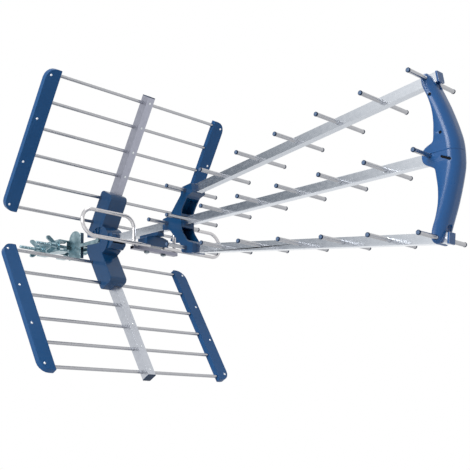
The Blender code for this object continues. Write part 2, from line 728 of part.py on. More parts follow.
def end_taper(height):
    """How far the rounding at the bow's ends draws its outline in."""
    into = abs(height) - (bow_half_height() - BOW_END_ROUND)
    if into <= 0:
        return 0.0
    return BOW_END_ROUND - math.sqrt(max(0.0, BOW_END_ROUND**2 - into**2))


def bow_section(height, shrink=0.0, extra_rear=0.0):
    """One ring of (x, y) points at a height, drawn in by shrink."""
    taper = end_taper(height)
    rear = bow_rear(height) + taper * 0.5 - extra_rear
    front = bow_front(height) - taper * 0.3 - shrink
    half = BOW_W / 2 - taper * 0.95 - shrink
    corner = min(BOW_ROUND - shrink, half, front - rear - 1 * MM)
    ring = [(rear, -half)]
    ring += smooth_arc((front - corner, -half + corner), corner, -math.pi / 2, 0, 5)
    ring += smooth_arc((front - corner, half - corner), corner, 0, math.pi / 2, 5)
    return ring + [(rear, half)]


def loft(stations, ring_at):
    """Join rings of (x, y) at a list of heights into one closed solid."""
    bm = bmesh.new()
    rings = [[bm.verts.new((x, y, z)) for x, y in ring_at(z)] for z in stations]
    for one, two in zip(rings, rings[1:]):
        for k in range(len(one)):
            n = (k + 1) % len(one)
            bm.faces.new((one[k], one[n], two[n], two[k]))
    bm.faces.new(list(reversed(rings[0])))
    bm.faces.new(rings[-1])
    return bm


def bow_stations():
    """Heights of the bow's rings: those of its rear curve, the seam's and the rounded ends'."""
    top = bow_half_height()
    shoulder = top - BOW_END_ROUND
    half = [top * share / 100 for share, depth in BOW_REAR[1:] if top * share / 100 < shoulder - 1 * MM]
    half += [shoulder + BOW_END_ROUND * share for share in (0, 0.38, 0.7, 0.92, 0.98)]
    seam = [SEAM_Z - SEAM, SEAM_Z, SEAM_Z + SEAM]
    return sorted([-z for z in half] + half[1:] + [0.0] + seam)


def make_front_bracket(mat):
    def outer(z):
        return bow_section(z, SEAM if z == SEAM_Z else 0.0)

    bow = add_object("front_bracket", loft(bow_stations(), outer), mat)
    steps = 6
    run = bow_half_height() - HOLLOW_END_WALL - HOLLOW_FROM
    for side, word in ((1, "upper"), (-1, "lower")):
        inner = [side * (HOLLOW_FROM + run * k / steps) for k in range(steps + 1)]
        boolean(bow, cutter(f"bow_{word}_hollow", loft(
            sorted(inner), lambda z: bow_section(z, BOW_WALL, 15 * MM))))
    for level, word in ((1, "upper"), (0, "middle"), (-1, "lower")):
        last = director_runs(level)[-1]
        ahead = BOW_DEPTH if level else BOOM_OVERHANG[0] + GAP
        boolean(bow, boom_hole(level, last - BOW_DEPTH, last + ahead, f"bow_{word}_boom"))
        boolean(bow, director_hole(level, len(director_runs(level)) - 1, f"bow_{word}_director"))
    # two drilled holes and a slot beside the seam, on the right side
    side = Vector((0, BOW_W / 2, 0))
    drills = bmesh.new()
    for into, share in ((HOLE_INSET_HIGH, HOLE_HIGH), (HOLE_INSET_LOW, HOLE_LOW)):
        z = bow_half_height() * share
        at = Vector((bow_rear(z) + into, 0, z))
        rod_mesh(HOLE_R, at - side * 1.2, at - side + Vector((0, BOW_WALL * 0.8, 0)), 10, drills)
    boolean(bow, cutter("bow_side_holes", drills))
    place = Matrix.Translation((bow_x() + BOW_DEPTH - SLOT_BACK, -BOW_W / 2, SLOT_Z))
    end = SLOT_H / 2 - 0.1 * MM
    half_l, half_h = SLOT_L / 2, SLOT_H / 2
    corners = [(-half_l, -half_h), (half_l, -half_h), (half_l, half_h), (-half_l, half_h)]
    slot = prism(fillet(corners, [end] * 4, steps=3), -5 * MM, 2.4 * MM, along_y)
    bmesh.ops.transform(slot, matrix=place @ Matrix.Rotation(SLOT_SLANT, 4, "Y"), verts=slot.verts)
    boolean(bow, cutter("bow_slot", slot))
    out = Vector((1, 0, 0))
    for level, word in ((1, "upper"), (-1, "lower")):
        seat = screw_seat(level)
        boolean(bow, cutter(f"bow_{word}_screw_recess", rod_mesh(
            SCREW_HEAD_R + SCREW_CLEAR, seat, seat + out * BOW_DEPTH, 16)))
        boolean(bow, cutter(f"bow_{word}_screw_hole", rod_mesh(
            SCREW_SHANK_R + GAP, seat - out * (SCREW_SHANK + GAP), seat + out * 1 * MM)))


def screw_seat(level):
    """Centre of a locking screw's seat, in the bracket's upper (1) or lower (-1) end."""
    height = bow_half_height() - SCREW_FROM_END
    return Vector((bow_front(height) - SCREW_SEAT, 0, level * height))


def make_locking_screws(mat):
    for level, word in ((1, "upper"), (-1, "lower")):
        seat = screw_seat(level)
        top = GAP + SCREW_HEAD_T
        profile = [(0, -SCREW_SHANK), (SCREW_SHANK_R, -SCREW_SHANK), (SCREW_SHANK_R, GAP),
                   (SCREW_HEAD_R, GAP), (SCREW_HEAD_R, top), (0, top)]
        screw = add_object(f"{word}_locking_screw", turned_mesh(profile, seat, (1, 0, 0), 14), mat, seat)
        boolean(screw, cutter(f"{word}_coin_slot", box_mesh(
            (seat.x + top - COIN_SLOT, -COIN_SLOT / 2, seat.z - 2 * SCREW_HEAD_R),
            (seat.x + top + COIN_SLOT, COIN_SLOT / 2, seat.z + 2 * SCREW_HEAD_R))))


def smooth_arc(centre, radius, start, end, steps):
    return [(centre[0] + radius * math.cos(start + (end - start) * k / steps),
             centre[1] + radius * math.sin(start + (end - start) * k / steps)) for k in range(steps + 1)]


def dipole_path(hand):
    """Centre line of one half: out along the lower run, back along the upper, down the leg."""
    bend = (DIPOLE_TOP_Z - DIPOLE_LOW_Z) / 2
    mid_z = (DIPOLE_TOP_Z + DIPOLE_LOW_Z) / 2
    out_y = DIPOLE_HALF - bend
    points = [(BOX_W / 2 - 12 * MM, DIPOLE_LOW_Z), (out_y, DIPOLE_LOW_Z)]
    points += smooth_arc((out_y, mid_z), bend, -math.pi / 2, math.pi / 2, 12)[1:]
    leg_top = (DIPOLE_LEG_Y + LEG_BEND, DIPOLE_TOP_Z - LEG_BEND)
    points.append((DIPOLE_LEG_Y + LEG_BEND, DIPOLE_TOP_Z))
    points += smooth_arc(leg_top, LEG_BEND, math.pi / 2, math.pi, 6)[1:]
    points.append((DIPOLE_LEG_Y, strap_top() + GAP))
    path = []
    for y, z in points:
        back = DIPOLE_LEG_BACK * min(1.0, max(0.0, (z - DIPOLE_LOW_Z) / (2 * bend)))
        if abs(y - DIPOLE_LEG_Y) < 1e-6 or y < DIPOLE_LEG_Y + LEG_BEND + 1e-6 and z > DIPOLE_LOW_Z + 1e-6:
            back = DIPOLE_LEG_BACK
        path.append(Vector((DIPOLE_X - back, hand * y, z)))
    return path


def strap_top():
    return DIPOLE_LOW_Z - DIPOLE_R - GAP


def strap_x():
    return DIPOLE_X - DIPOLE_LEG_BACK


def make_dipole(mat, strap_mat):
    for hand, word in ((1, "left"), (-1, "right")):
        name = f"dipole_{word}_loop"
        curve = bpy.data.curves.new(name, "CURVE")
        curve.dimensions = "3D"
        spline = curve.splines.new("POLY")
        path = dipole_path(hand)
        spline.points.add(len(path) - 1)
        for point, place in zip(spline.points, path):
            point.co = (*place, 1.0)
        curve.bevel_depth = DIPOLE_R
        curve.bevel_resolution = 3
        curve.use_fill_caps = True
        loop = bpy.data.objects.new(name, curve)
        bpy.context.scene.collection.objects.link(loop)
        own = mat.copy()
        own.name = name + "_material"
        curve.materials.append(own)
    low, high = strap_top() - STRAP_H, strap_top()
    mid = strap_x()
    strap = add_object("dipole_strap", box_mesh(
        (mid - STRAP_D / 2, -STRAP_W / 2, low), (mid + STRAP_D / 2, STRAP_W / 2, high)), strap_mat)
    boolean(strap, cutter("strap_inside", box_mesh(
        (mid - STRAP_D / 2 + STRAP_WALL, -STRAP_W, low + STRAP_WALL),
        (mid + STRAP_D / 2 - STRAP_WALL, STRAP_W, high - STRAP_WALL))))


def box_outline(shrink):
    """The box from the front, in Y and Z: flat bottom and ends, shoulders that slope up to the saddle."""
    half, low = BOX_W / 2 - shrink, BOX_BOTTOM + shrink
    side, top = BOX_SHOULDER - shrink, BOX_TOP - shrink
    return [(-half, low), (half, low), (half, side), (BOX_TOP_HALF, top), (-BOX_TOP_HALF, top), (-half, side)]


def make_dipole_box(mat):
    split = BOX_FRONT_X - LID_T
    half = BOX_W / 2
    radii = [BOX_EDGE, BOX_EDGE, BOX_EDGE, BOX_EDGE, BOX_EDGE, BOX_EDGE]
    outline = fillet(box_outline(0), radii, steps=2)
    body = add_object("dipole_box", prism(outline, BOX_REAR_X, split, along_x), mat)
    lid = add_object("dipole_box_lid", prism(outline, split + GAP, BOX_FRONT_X, along_x), mat)
    low = BOX_TOP + GAP
    saddle = box_mesh((SADDLE_REAR_X, -SADDLE_W / 2, low), (SADDLE_FRONT_X, SADDLE_W / 2, -BOOM_H / 2 - GAP))
    boolean(body, cutter("box_saddle", saddle), "UNION")
    foot = box_mesh((BOX_REAR_X + 2 * MM, -SADDLE_W / 2 + 1 * MM, BOX_TOP - BOX_WALL / 2),
                    (split - 1 * MM, SADDLE_W / 2 - 1 * MM, low + 1 * MM))
    boolean(body, cutter("box_saddle_foot", foot), "UNION")
    room = box_outline(BOX_WALL)
    for piece, word, rear, front in ((body, "box", BOX_REAR_X + BOX_WALL, split + 5 * MM),
                                     (lid, "lid", split - 1 * MM, BOX_FRONT_X - BOX_WALL)):
        boolean(piece, cutter(f"{word}_inside", prism(room, rear, front, along_x)))
    for piece, word in ((body, "box"), (lid, "lid")):
        ports = bmesh.new()
        for hand in (1, -1):
            rod_mesh(DIPOLE_R + GAP, (DIPOLE_X, hand * (half - 14 * MM), DIPOLE_LOW_Z),
                     (DIPOLE_X, hand * (half + 10 * MM), DIPOLE_LOW_Z), 14, ports)
        boolean(piece, cutter(f"{word}_ports", ports))


# Clamp

def jaw_outline(hand):
    """One flange of a jaw in X and Y: straight back, sloping front, toothed notch."""
    def notch(x, dip=0.0):
        return hand * ((GRIP_R + GAP - abs(x) * math.sin(JAW_V)) / math.cos(JAW_V) + dip)

    points = [(-JAW_HALF, hand * JAW_BACK), (-JAW_HALF, hand * JAW_CHEEK)]
    pitch = NOTCH_HALF / TEETH
    for k in range(-TEETH, TEETH + 1):
        points.append((k * pitch, notch(k * pitch, TOOTH if k % 2 else 0.0)))
    return points + [(JAW_HALF, hand * JAW_CHEEK), (JAW_HALF, hand * JAW_BACK)]


def make_jaw(name, hand, mat):
    bm = prism(jaw_outline(hand), CLAMP_Z - JAW_H / 2, CLAMP_Z + JAW_H / 2, along_z)
    jaw = add_object(name, bm, mat, (0, hand * JAW_BACK, CLAMP_Z))
    inner = hand * (JAW_BACK - JAW_STEEL)
    ys = sorted((inner, -hand * JAW_BACK))
    half = JAW_H / 2 - JAW_STEEL
    boolean(jaw, cutter(f"{name}_channel", box_mesh(
        (-JAW_HALF - 1 * MM, ys[0], CLAMP_Z - half), (JAW_HALF + 1 * MM, ys[1], CLAMP_Z + half))))
    holes = bmesh.new()
    for x in (BOLT_X, -BOLT_X):
        rod_mesh(BOLT_R + GAP, (x, inner - 9 * MM, CLAMP_Z), (x, inner + 9 * MM, CLAMP_Z), 14, holes)
    boolean(jaw, cutter(f"{name}_bolt_holes", holes))


def bracket_seat():
    """Inner face of the plate behind the fixed jaw."""
    return JAW_BACK + GAP


def web_x():
    return JAW_HALF + 2 * MM


def make_mount_bracket(mat):
    """Pressed steel: seat plate, web, a domed cheek with its flange, and the tongue with its hinge pin."""
    steel = BRACKET_STEEL
    outer = CHEEK_Y + steel
    seat = bracket_seat()
    rear = web_x()
    low, high = CLAMP_Z - SEAT_H / 2, CLAMP_Z + SEAT_H / 2
    plan = [(-JAW_HALF, seat), (-JAW_HALF, seat + steel), (rear + steel, seat + steel), (rear + steel, outer),
            (CHEEK_FRONT_X + steel, outer), (CHEEK_FRONT_X + steel, -outer), (rear, -outer), (rear, seat)]
    inside = [(rear + steel, -CHEEK_Y), (rear + steel, CHEEK_Y), (CHEEK_FRONT_X, CHEEK_Y),
              (CHEEK_FRONT_X, -CHEEK_Y)]
    bracket = add_object("mount_bracket", prism(plan, low, high, along_z), mat)
    boolean(bracket, cutter("bracket_inside", prism(inside, CHEEK_BOTTOM * 2, CHEEK_TOP * 2, along_z)))
    # the left side is cut down to an arm as high as the tongue
    boolean(bracket, cutter("bracket_arm", box_mesh(
        (rear + 2 * steel, FLANGE_REACH - CHEEK_Y, TONGUE_H / 2), (HINGE_X, outer + steel, CHEEK_TOP * 2))))
    # the right side rises to a round top, with a flange across its front edge
    mid = (CHEEK_REAR_X + CHEEK_FRONT_X) / 2
    radius = (CHEEK_FRONT_X - CHEEK_REAR_X) / 2
    dome = smooth_arc((mid, CHEEK_TOP - radius), radius, 0, math.pi, 8)
    cheek = [(CHEEK_REAR_X, CHEEK_BOTTOM), (CHEEK_FRONT_X + 1 * MM, CHEEK_BOTTOM)] + dome
    boolean(bracket, cutter("bracket_cheek", prism(cheek, -outer, -CHEEK_Y, along_y)), "UNION")
    boolean(bracket, cutter("bracket_flange", box_mesh(
        (CHEEK_FRONT_X, -outer, CHEEK_BOTTOM), (CHEEK_FRONT_X + steel, FLANGE_REACH - CHEEK_Y, FLANGE_TOP))),
        "UNION")
    tongue = [(CHEEK_FRONT_X + 1 * MM, -TONGUE_H / 2)]
    tongue += smooth_arc((HINGE_X, 0), EYE_R, math.radians(-125), math.radians(125), 10)
    tongue += [(CHEEK_FRONT_X + 1 * MM, TONGUE_H / 2)]
    boolean(bracket, cutter("bracket_tongue", prism(tongue, -TONGUE_W / 2, TONGUE_W / 2, along_y)), "UNION")
    trough = box_mesh((CHEEK_FRONT_X + 4 * steel, -TONGUE_W / 2 + steel, -TONGUE_H),
                      (HINGE_X - EYE_R - steel, TONGUE_W / 2 - steel, TONGUE_H / 2 - steel))
    boolean(bracket, cutter("bracket_trough", trough))
    side = Vector((0, HUB_W / 2 + GAP, 0))
    head = Vector((0, PIN_HEAD_T, 0))
    hinge = Vector((HINGE_X, 0, 0))
    boolean(bracket, cutter("bracket_pin", rod_mesh(PIN_R, hinge - side - head / 2, hinge + side + head / 2)),
            "UNION")
    for hand, word in ((1, "left"), (-1, "right")):
        boolean(bracket, cutter(f"bracket_{word}_pin_head", rod_mesh(
            PIN_HEAD_R, hinge + hand * side, hinge + hand * (side + head), 6 if hand > 0 else 12)), "UNION")
    holes = bmesh.new()
    for x in (BOLT_X, -BOLT_X):
        rod_mesh(BOLT_R + GAP, (x, seat - 5 * MM, CLAMP_Z), (x, seat + steel + 5 * MM, CLAMP_Z), 14, holes)
    boolean(bracket, cutter("bracket_bolt_holes", holes))


def make_clamp_bolts(mat):
    seat = bracket_seat() + BRACKET_STEEL + GAP
    length = seat - BOLT_END_Y
    profile = [(0, -BOLT_HEAD_T), (BOLT_HEAD_R * 0.5, -BOLT_HEAD_T),
               (BOLT_HEAD_R * 0.88, -BOLT_HEAD_T * 0.5), (BOLT_HEAD_R, 0), (BOLT_R, 0),
               (BOLT_R, length - 1 * MM), (BOLT_R - 1 * MM, length), (0, length)]
    for x, word in ((BOLT_X, "front"), (-BOLT_X, "rear")):
        at = (x, seat, CLAMP_Z)
        add_object(f"{word}_clamp_bolt", turned_mesh(profile, at, (0, -1, 0)), mat, at)


def wing_outline(hand, seat):
    """One wing of a nut in Y and Z: a lever that leans out from the barrel."""
    root = NUT_R - 3 * MM
    reach = [(root, NUT_T * 0.15), (NUT_R + 2 * MM, NUT_T * 0.25), (WING_SPAN, WING_REACH - WING_TIP),
             (WING_SPAN, WING_REACH), (WING_SPAN - WING_TIP * 0.8, WING_REACH), (root, NUT_T * 0.9)]
    rounded = fillet([(hand * r, out) for r, out in reach],
                     [0, 4 * MM, 3.4 * MM, 3.4 * MM, 3.4 * MM, 0], steps=3)
    return [(seat - out, CLAMP_Z + z) for z, out in rounded]


def make_wing_nuts(mat):
    seat = -(JAW_BACK + GAP)
    for x, word in ((BOLT_X, "front"), (-BOLT_X, "rear")):
        name = f"{word}_wing_nut"
        at = (x, seat, CLAMP_Z)
        profile = [(0, 0), (NUT_R + 1 * MM, 0), (NUT_R, 2 * MM), (NUT_R - 1 * MM, NUT_T), (0, NUT_T)]
        nut = add_object(name, turned_mesh(profile, at, (0, -1, 0), 16), mat, at)
        for hand in (1, -1):
            blade = prism(wing_outline(hand, seat), x - WING_T / 2, x + WING_T / 2,
                          lambda y, z, d: Vector((d, y, z)))
            boolean(nut, cutter(f"{name}_wing_{hand + 1}", blade), "UNION")
        boolean(nut, cutter(f"{name}_bore", rod_mesh(BOLT_R + GAP, (x, seat + 5 * MM, CLAMP_Z),
                                                     (x, seat - NUT_T - 5 * MM, CLAMP_Z))))


def build():
    clear_scene()
    aluminium = material("aluminium", (0.72, 0.74, 0.78), 0.35, 1.0)
    blue = material("blue_plastic", (0.028, 0.13, 0.34), 0.35, 0.0)
    dark_blue = material("dark_blue_plastic", (0.018, 0.075, 0.17), 0.4, 0.0)
    zinc = material("zinc_plated_steel", (0.42, 0.55, 0.60), 0.4, 1.0)
    make_booms(aluminium)
    make_directors(aluminium)
    make_rods(aluminium)
    make_centre_bars(aluminium)
    make_rails(dark_blue)
    make_hub(dark_blue)
    make_yoke(dark_blue)
    make_front_bracket(blue)
    make_locking_screws(blue)
    make_dipole(aluminium, aluminium)
    make_dipole_box(dark_blue)
    make_mount_bracket(zinc)
    make_jaw("fixed_jaw", 1, zinc)
    make_jaw("sliding_jaw", -1, zinc)
    make_clamp_bolts(zinc)
    make_wing_nuts(zinc)


build()
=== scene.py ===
# %% [markdown]
# # An outdoor television antenna, dressed for its picture
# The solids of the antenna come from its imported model. This script gives them the surfaces,
# the rounded edges and the small fasteners that the real one has, and lights them like a
# picture in a shop's catalogue.

# %% Load the frame
import math

import bmesh
import bpy
from mathutils import Matrix, Vector


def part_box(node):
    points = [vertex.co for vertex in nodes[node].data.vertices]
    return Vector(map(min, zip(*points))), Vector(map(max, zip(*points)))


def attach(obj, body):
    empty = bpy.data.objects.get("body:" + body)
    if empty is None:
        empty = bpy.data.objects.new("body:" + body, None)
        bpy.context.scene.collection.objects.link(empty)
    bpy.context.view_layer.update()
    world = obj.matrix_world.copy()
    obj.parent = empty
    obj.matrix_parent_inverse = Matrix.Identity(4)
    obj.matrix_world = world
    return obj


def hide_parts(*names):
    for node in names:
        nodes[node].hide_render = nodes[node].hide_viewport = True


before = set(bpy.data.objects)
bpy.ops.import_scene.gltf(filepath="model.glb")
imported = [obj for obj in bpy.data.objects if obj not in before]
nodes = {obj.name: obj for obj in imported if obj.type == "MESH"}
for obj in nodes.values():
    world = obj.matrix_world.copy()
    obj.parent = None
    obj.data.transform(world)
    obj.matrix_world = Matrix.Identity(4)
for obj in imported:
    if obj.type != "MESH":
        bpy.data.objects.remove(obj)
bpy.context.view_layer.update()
MM = 0.001
print("nodes in the frame:", len(nodes))


# %% [markdown]
# ## Three helpers for the materials
# Colours are written as on a colour chart, in sRGB hex. Blender's shaders work in linear
# light, so one function turns them. A second one adds a node with its settings and links, and
# a third starts a material from its plain constants.

# %% Colour and node helpers
PLASTIC_IOR = 1.5


def linear(hex_code):
    """An sRGB hex colour as linear red, green, blue and alpha."""
    parts = [int(hex_code[i:i + 2], 16) / 255 for i in (1, 3, 5)]
    return (*(p / 12.92 if p <= 0.04045 else ((p + 0.055) / 1.055) ** 2.4 for p in parts), 1.0)


def add_node(tree, kind, inputs=None, **settings):
    """Add a node. An input is given a value, or the socket that it is linked from."""
    new = tree.nodes.new(kind)
    for key, value in settings.items():
        setattr(new, key, value)
    for key, value in (inputs or {}).items():
        if isinstance(value, bpy.types.NodeSocket):
            tree.links.new(value, new.inputs[key])
        else:
            new.inputs[key].default_value = value
    return new


def new_material(name, colour, roughness, metallic=0.0):
    """A material with its constants on the shader's own sockets. A metal keeps the default IOR."""
    material = bpy.data.materials.new(name)
    material.use_nodes = True
    tree = material.node_tree
    shader = tree.nodes["Principled BSDF"]
    shader.inputs["Base Color"].default_value = linear(colour)
    shader.inputs["Roughness"].default_value = roughness
    shader.inputs["Metallic"].default_value = metallic
    if not metallic:
        shader.inputs["IOR"].default_value = PLASTIC_IOR
    material.diffuse_color = linear(colour)
    return material, tree, shader


print("middle grey #808080 in linear light:", round(linear("#808080")[0], 3))


# %% [markdown]
# ## Moulded plastic
# The blue mouldings are ABS, injected into a steel mould whose walls were eroded to a fine
# satin grain, and the caps are polyethylene. Such plastic reflects a soft, broad light, and its
# colour clouds very slightly, over some 38 mm, where the melt flowed. A fine noise bends the
# surface for the grain; it is drawn at 0.9 mm, coarser than the real 0.1 mm, because a finer
# one wouldn't show at this distance.

# %% Plastic materials
FLOW_MM, GRAIN_MM = 38, 0.9
GRAIN_DEPTH_MM, GRAIN_STRENGTH = 0.2, 0.05
PLASTIC_SMOOTHER, PLASTIC_ROUGHER = 0.05, 0.06


def moulded_plastic(name, colour, cloudy, roughness, shine):
    """Plastic that clouds from one colour to another, with a fine grain."""
    material, tree, shader = new_material(name, colour, roughness)
    shader.inputs["Specular IOR Level"].default_value = shine
    place = add_node(tree, "ShaderNodeTexCoord").outputs["Object"]
    flow = add_node(tree, "ShaderNodeTexNoise", {
        "Vector": place, "Scale": 1 / (FLOW_MM * MM), "Detail": 3.0})
    tint = add_node(tree, "ShaderNodeMix", {
        "Factor": flow.outputs["Fac"], "A": linear(colour), "B": linear(cloudy)}, data_type="RGBA")
    fine = add_node(tree, "ShaderNodeTexNoise", {
        "Vector": place, "Scale": 1 / (GRAIN_MM * MM), "Detail": 2.0})
    matt = add_node(tree, "ShaderNodeMapRange", {
        "Value": flow.outputs["Fac"], "To Min": roughness - PLASTIC_SMOOTHER,
        "To Max": roughness + PLASTIC_ROUGHER})
    bump = add_node(tree, "ShaderNodeBump", {
        "Height": fine.outputs["Fac"], "Strength": GRAIN_STRENGTH, "Distance": GRAIN_DEPTH_MM * MM})
    tree.links.new(tint.outputs["Result"], shader.inputs["Base Color"])
    tree.links.new(matt.outputs["Result"], shader.inputs["Roughness"])
    tree.links.new(bump.outputs["Normal"], shader.inputs["Normal"])
    return material


BRACKET_ABS = moulded_plastic("blue moulded ABS", "#145694", "#114F89", 0.28, 0.44)
HUB_ABS = moulded_plastic("dark blue moulded ABS", "#0D4472", "#0B3F69", 0.18, 0.42)
RAIL_ABS = moulded_plastic("dark blue moulded ABS of the rails", "#1F568C", "#1B4F82", 0.34, 0.2)
CAP_PE = moulded_plastic("navy polyethylene", "#152C49", "#1A3554", 0.42, 0.2)
DISC_PE = moulded_plastic("grey-blue polyethylene", "#5F7696", "#566C8B", 0.45, 0.3)
# painted shade: a near-black plastic that stands for the shade inside the bow's holes and slot
PAINTED_SHADE = moulded_plastic("black-blue painted shade", "#070C14", "#0A101A", 0.6, 0.1)
print("plastics:", ", ".join(m.name for m in (BRACKET_ABS, HUB_ABS, RAIL_ABS, CAP_PE, DISC_PE, PAINTED_SHADE)))


# %% [markdown]
# ## Drawn aluminium
# Booms and bars are extruded through a die and drawn bright, so their metal has fine lines
# along its length and clouds of slightly different gloss across it. The lines are a noise that
# is stretched sixty times along the tube; a Mapping node first turns it to the tube's slope.
# They are drawn 0.7 mm wide, where the real ones are a few hundredths, so that they show. A
# thin round tube has no lines that show, only soft clouds, so its noise isn't stretched.

# %% Aluminium materials
BOOM_TILT = math.radians(7.42)
LEAN = math.radians(29.0)
BAR_SLOPE = math.radians(90) - LEAN
CLOUD_MM, LINE_DEPTH_MM = 9, 0.1
ALUMINIUM_SMOOTHER, ALUMINIUM_ROUGHER = 0.08, 0.12
PLAIN_SKIN = {"line_mm": 1.6, "stretch": 1.0, "depth": 0.02}


def drawn_aluminium(name, colour, dull, roughness, slope=0.0, line_mm=0.7, stretch=60.0, depth=0.10):
    """Aluminium with lines along a tube that slopes, and clouds of two tints."""
    material, tree, shader = new_material(name, colour, roughness, 1.0)
    place = add_node(tree, "ShaderNodeTexCoord").outputs["Object"]
    turned = add_node(tree, "ShaderNodeMapping", {"Vector": place, "Rotation": (0, slope, 0)})
    along = add_node(tree, "ShaderNodeMapping", {
        "Vector": turned.outputs["Vector"], "Scale": (1 / stretch, 1, 1)})
    lines = add_node(tree, "ShaderNodeTexNoise", {
        "Vector": along.outputs["Vector"], "Scale": 1 / (line_mm * MM), "Detail": 2.0})
    clouds = add_node(tree, "ShaderNodeTexNoise", {
        "Vector": turned.outputs["Vector"], "Scale": 1 / (CLOUD_MM * MM), "Detail": 5.0})
    tint = add_node(tree, "ShaderNodeMix", {
        "Factor": clouds.outputs["Fac"], "A": linear(dull), "B": linear(colour)}, data_type="RGBA")
    both = add_node(tree, "ShaderNodeMath", {0: lines.outputs["Fac"], 1: clouds.outputs["Fac"]},
                    operation="ADD")
    matt = add_node(tree, "ShaderNodeMapRange", {
        "Value": both.outputs["Value"], "From Max": 2.0, "To Min": roughness - ALUMINIUM_SMOOTHER,
        "To Max": roughness + ALUMINIUM_ROUGHER})
    bump = add_node(tree, "ShaderNodeBump", {
        "Height": lines.outputs["Fac"], "Strength": depth, "Distance": LINE_DEPTH_MM * MM})
    tree.links.new(tint.outputs["Result"], shader.inputs["Base Color"])
    tree.links.new(matt.outputs["Result"], shader.inputs["Roughness"])
    tree.links.new(bump.outputs["Normal"], shader.inputs["Normal"])
    return material


BOOM_METAL = {
    word: drawn_aluminium(f"bright drawn aluminium, {word} boom", "#DDE1E7", "#CDD3DB", 0.15, slope)
    for word, slope in (("upper", BOOM_TILT), ("middle", 0.0), ("lower", -BOOM_TILT))}
# painted light and shade: both bars are the same satin aluminium; the upper one's copy is painted darker
# and the lower one's lighter
BAR_METAL = {
    "upper": drawn_aluminium("satin drawn aluminium, upper bar, with painted shade", "#AFB1BE", "#9C9EAA", 0.30, BAR_SLOPE),
    "lower": drawn_aluminium("satin drawn aluminium, lower bar, with painted light", "#C9CDD4", "#B4B8C1", 0.30, -BAR_SLOPE)}
ROD_METAL = drawn_aluminium("drawn aluminium tube", "#B7B8BC", "#A8A9AD", 0.22, **PLAIN_SKIN)
TUBE_METAL = drawn_aluminium("bright aluminium tube", "#CFCED0", "#C2C0C2", 0.22, **PLAIN_SKIN)
STRAP_METAL = drawn_aluminium("grey drawn aluminium, strap", "#9293A1", "#7F808E", 0.28)
print("metals:", BOOM_METAL["upper"].name, BAR_METAL["upper"].name, ROD_METAL.name)


# %% [markdown]
# ## Plated steel
# The clamp is steel with a thin coat of zinc and a blue passivation, which reflects a cold,
# slightly green light and is uneven from the bath. A noise of 14 mm moves the tint between the
# two colours; one of 0.8 mm, coarser than the real crystals, roughens it so that this shows.
# The rivets, screws and nuts are plainer metals of the same make.

# %% Steel materials
BATH_MM, CRYSTAL_MM = 14, 0.8
CRYSTAL_DEPTH_MM, CRYSTAL_STRENGTH = 0.1, 0.08
STEEL_SMOOTHER, STEEL_ROUGHER = 0.08, 0.14


def plated_steel(name, colour, tint_colour, roughness):
    """Metal whose coat wanders between two tints."""
    material, tree, shader = new_material(name, colour, roughness, 1.0)
    place = add_node(tree, "ShaderNodeTexCoord").outputs["Object"]
    bath = add_node(tree, "ShaderNodeTexNoise", {
        "Vector": place, "Scale": 1 / (BATH_MM * MM), "Detail": 4.0})
    spread = add_node(tree, "ShaderNodeMapRange", {
        "Value": bath.outputs["Fac"], "From Min": 0.25, "From Max": 0.8})
    tint = add_node(tree, "ShaderNodeMix", {
        "Factor": spread.outputs["Result"], "A": linear(colour), "B": linear(tint_colour)},
        data_type="RGBA")
    matt = add_node(tree, "ShaderNodeMapRange", {
        "Value": bath.outputs["Fac"], "To Min": roughness - STEEL_SMOOTHER,
        "To Max": roughness + STEEL_ROUGHER})
    fine = add_node(tree, "ShaderNodeTexNoise", {"Vector": place, "Scale": 1 / (CRYSTAL_MM * MM)})
    bump = add_node(tree, "ShaderNodeBump", {
        "Height": fine.outputs["Fac"], "Strength": CRYSTAL_STRENGTH, "Distance": CRYSTAL_DEPTH_MM * MM})
    tree.links.new(tint.outputs["Result"], shader.inputs["Base Color"])
    tree.links.new(matt.outputs["Result"], shader.inputs["Roughness"])
    tree.links.new(bump.outputs["Normal"], shader.inputs["Normal"])
    return material


ZINC = plated_steel("zinc-plated steel, blue passivation", "#A9C0C8", "#67848E", 0.2)
RIVET_METAL = plated_steel("aluminium rivet", "#EEF1F4", "#DDE1E6", 0.3)
SCREW_METAL = plated_steel("stainless steel screw", "#C9CDD0", "#AEB4B8", 0.22)
NUT_METAL = plated_steel("dark steel nut", "#7C8890", "#5C6970", 0.25)
print("steels and fasteners:", ZINC.name, RIVET_METAL.name, SCREW_METAL.name, NUT_METAL.name)


# %% [markdown]
# ## The camera
# The picture was taken from below and to the antenna's right, from a little over two metres.
# Azimuth, elevation, roll, place and lens come from fitting the rods' and directors' ends. The
# pose is written as a matrix, because aiming at a point alone would leave the small roll out.

# %% Camera
AZIMUTH, ELEVATION, ROLL = (math.radians(a) for a in (46.901, -12.684, -1.214))
CAMERA_PLACE = (2.0270, -1.4977, -0.5192)
back = Vector((math.cos(AZIMUTH) * math.cos(ELEVATION), -math.sin(AZIMUTH) * math.cos(ELEVATION),
               math.sin(ELEVATION)))
right = (-back).cross(Vector((0, 0, 1))).normalized()
up = right.cross(-back)
pose = Matrix.Identity(4)
pose.col[0][:3] = math.cos(ROLL) * right + math.sin(ROLL) * up
pose.col[1][:3] = math.cos(ROLL) * up - math.sin(ROLL) * right
pose.col[2][:3] = back
pose.translation = CAMERA_PLACE
camera_data = bpy.data.cameras.new("camera")
camera_data.sensor_width, camera_data.lens = 36.0, 73.73
camera_data.clip_start = 0.05
camera = bpy.data.objects.new("camera", camera_data)
bpy.context.scene.collection.objects.link(camera)
camera.matrix_world = pose
bpy.context.scene.camera = camera
print("camera lens:", round(camera_data.lens, 2))
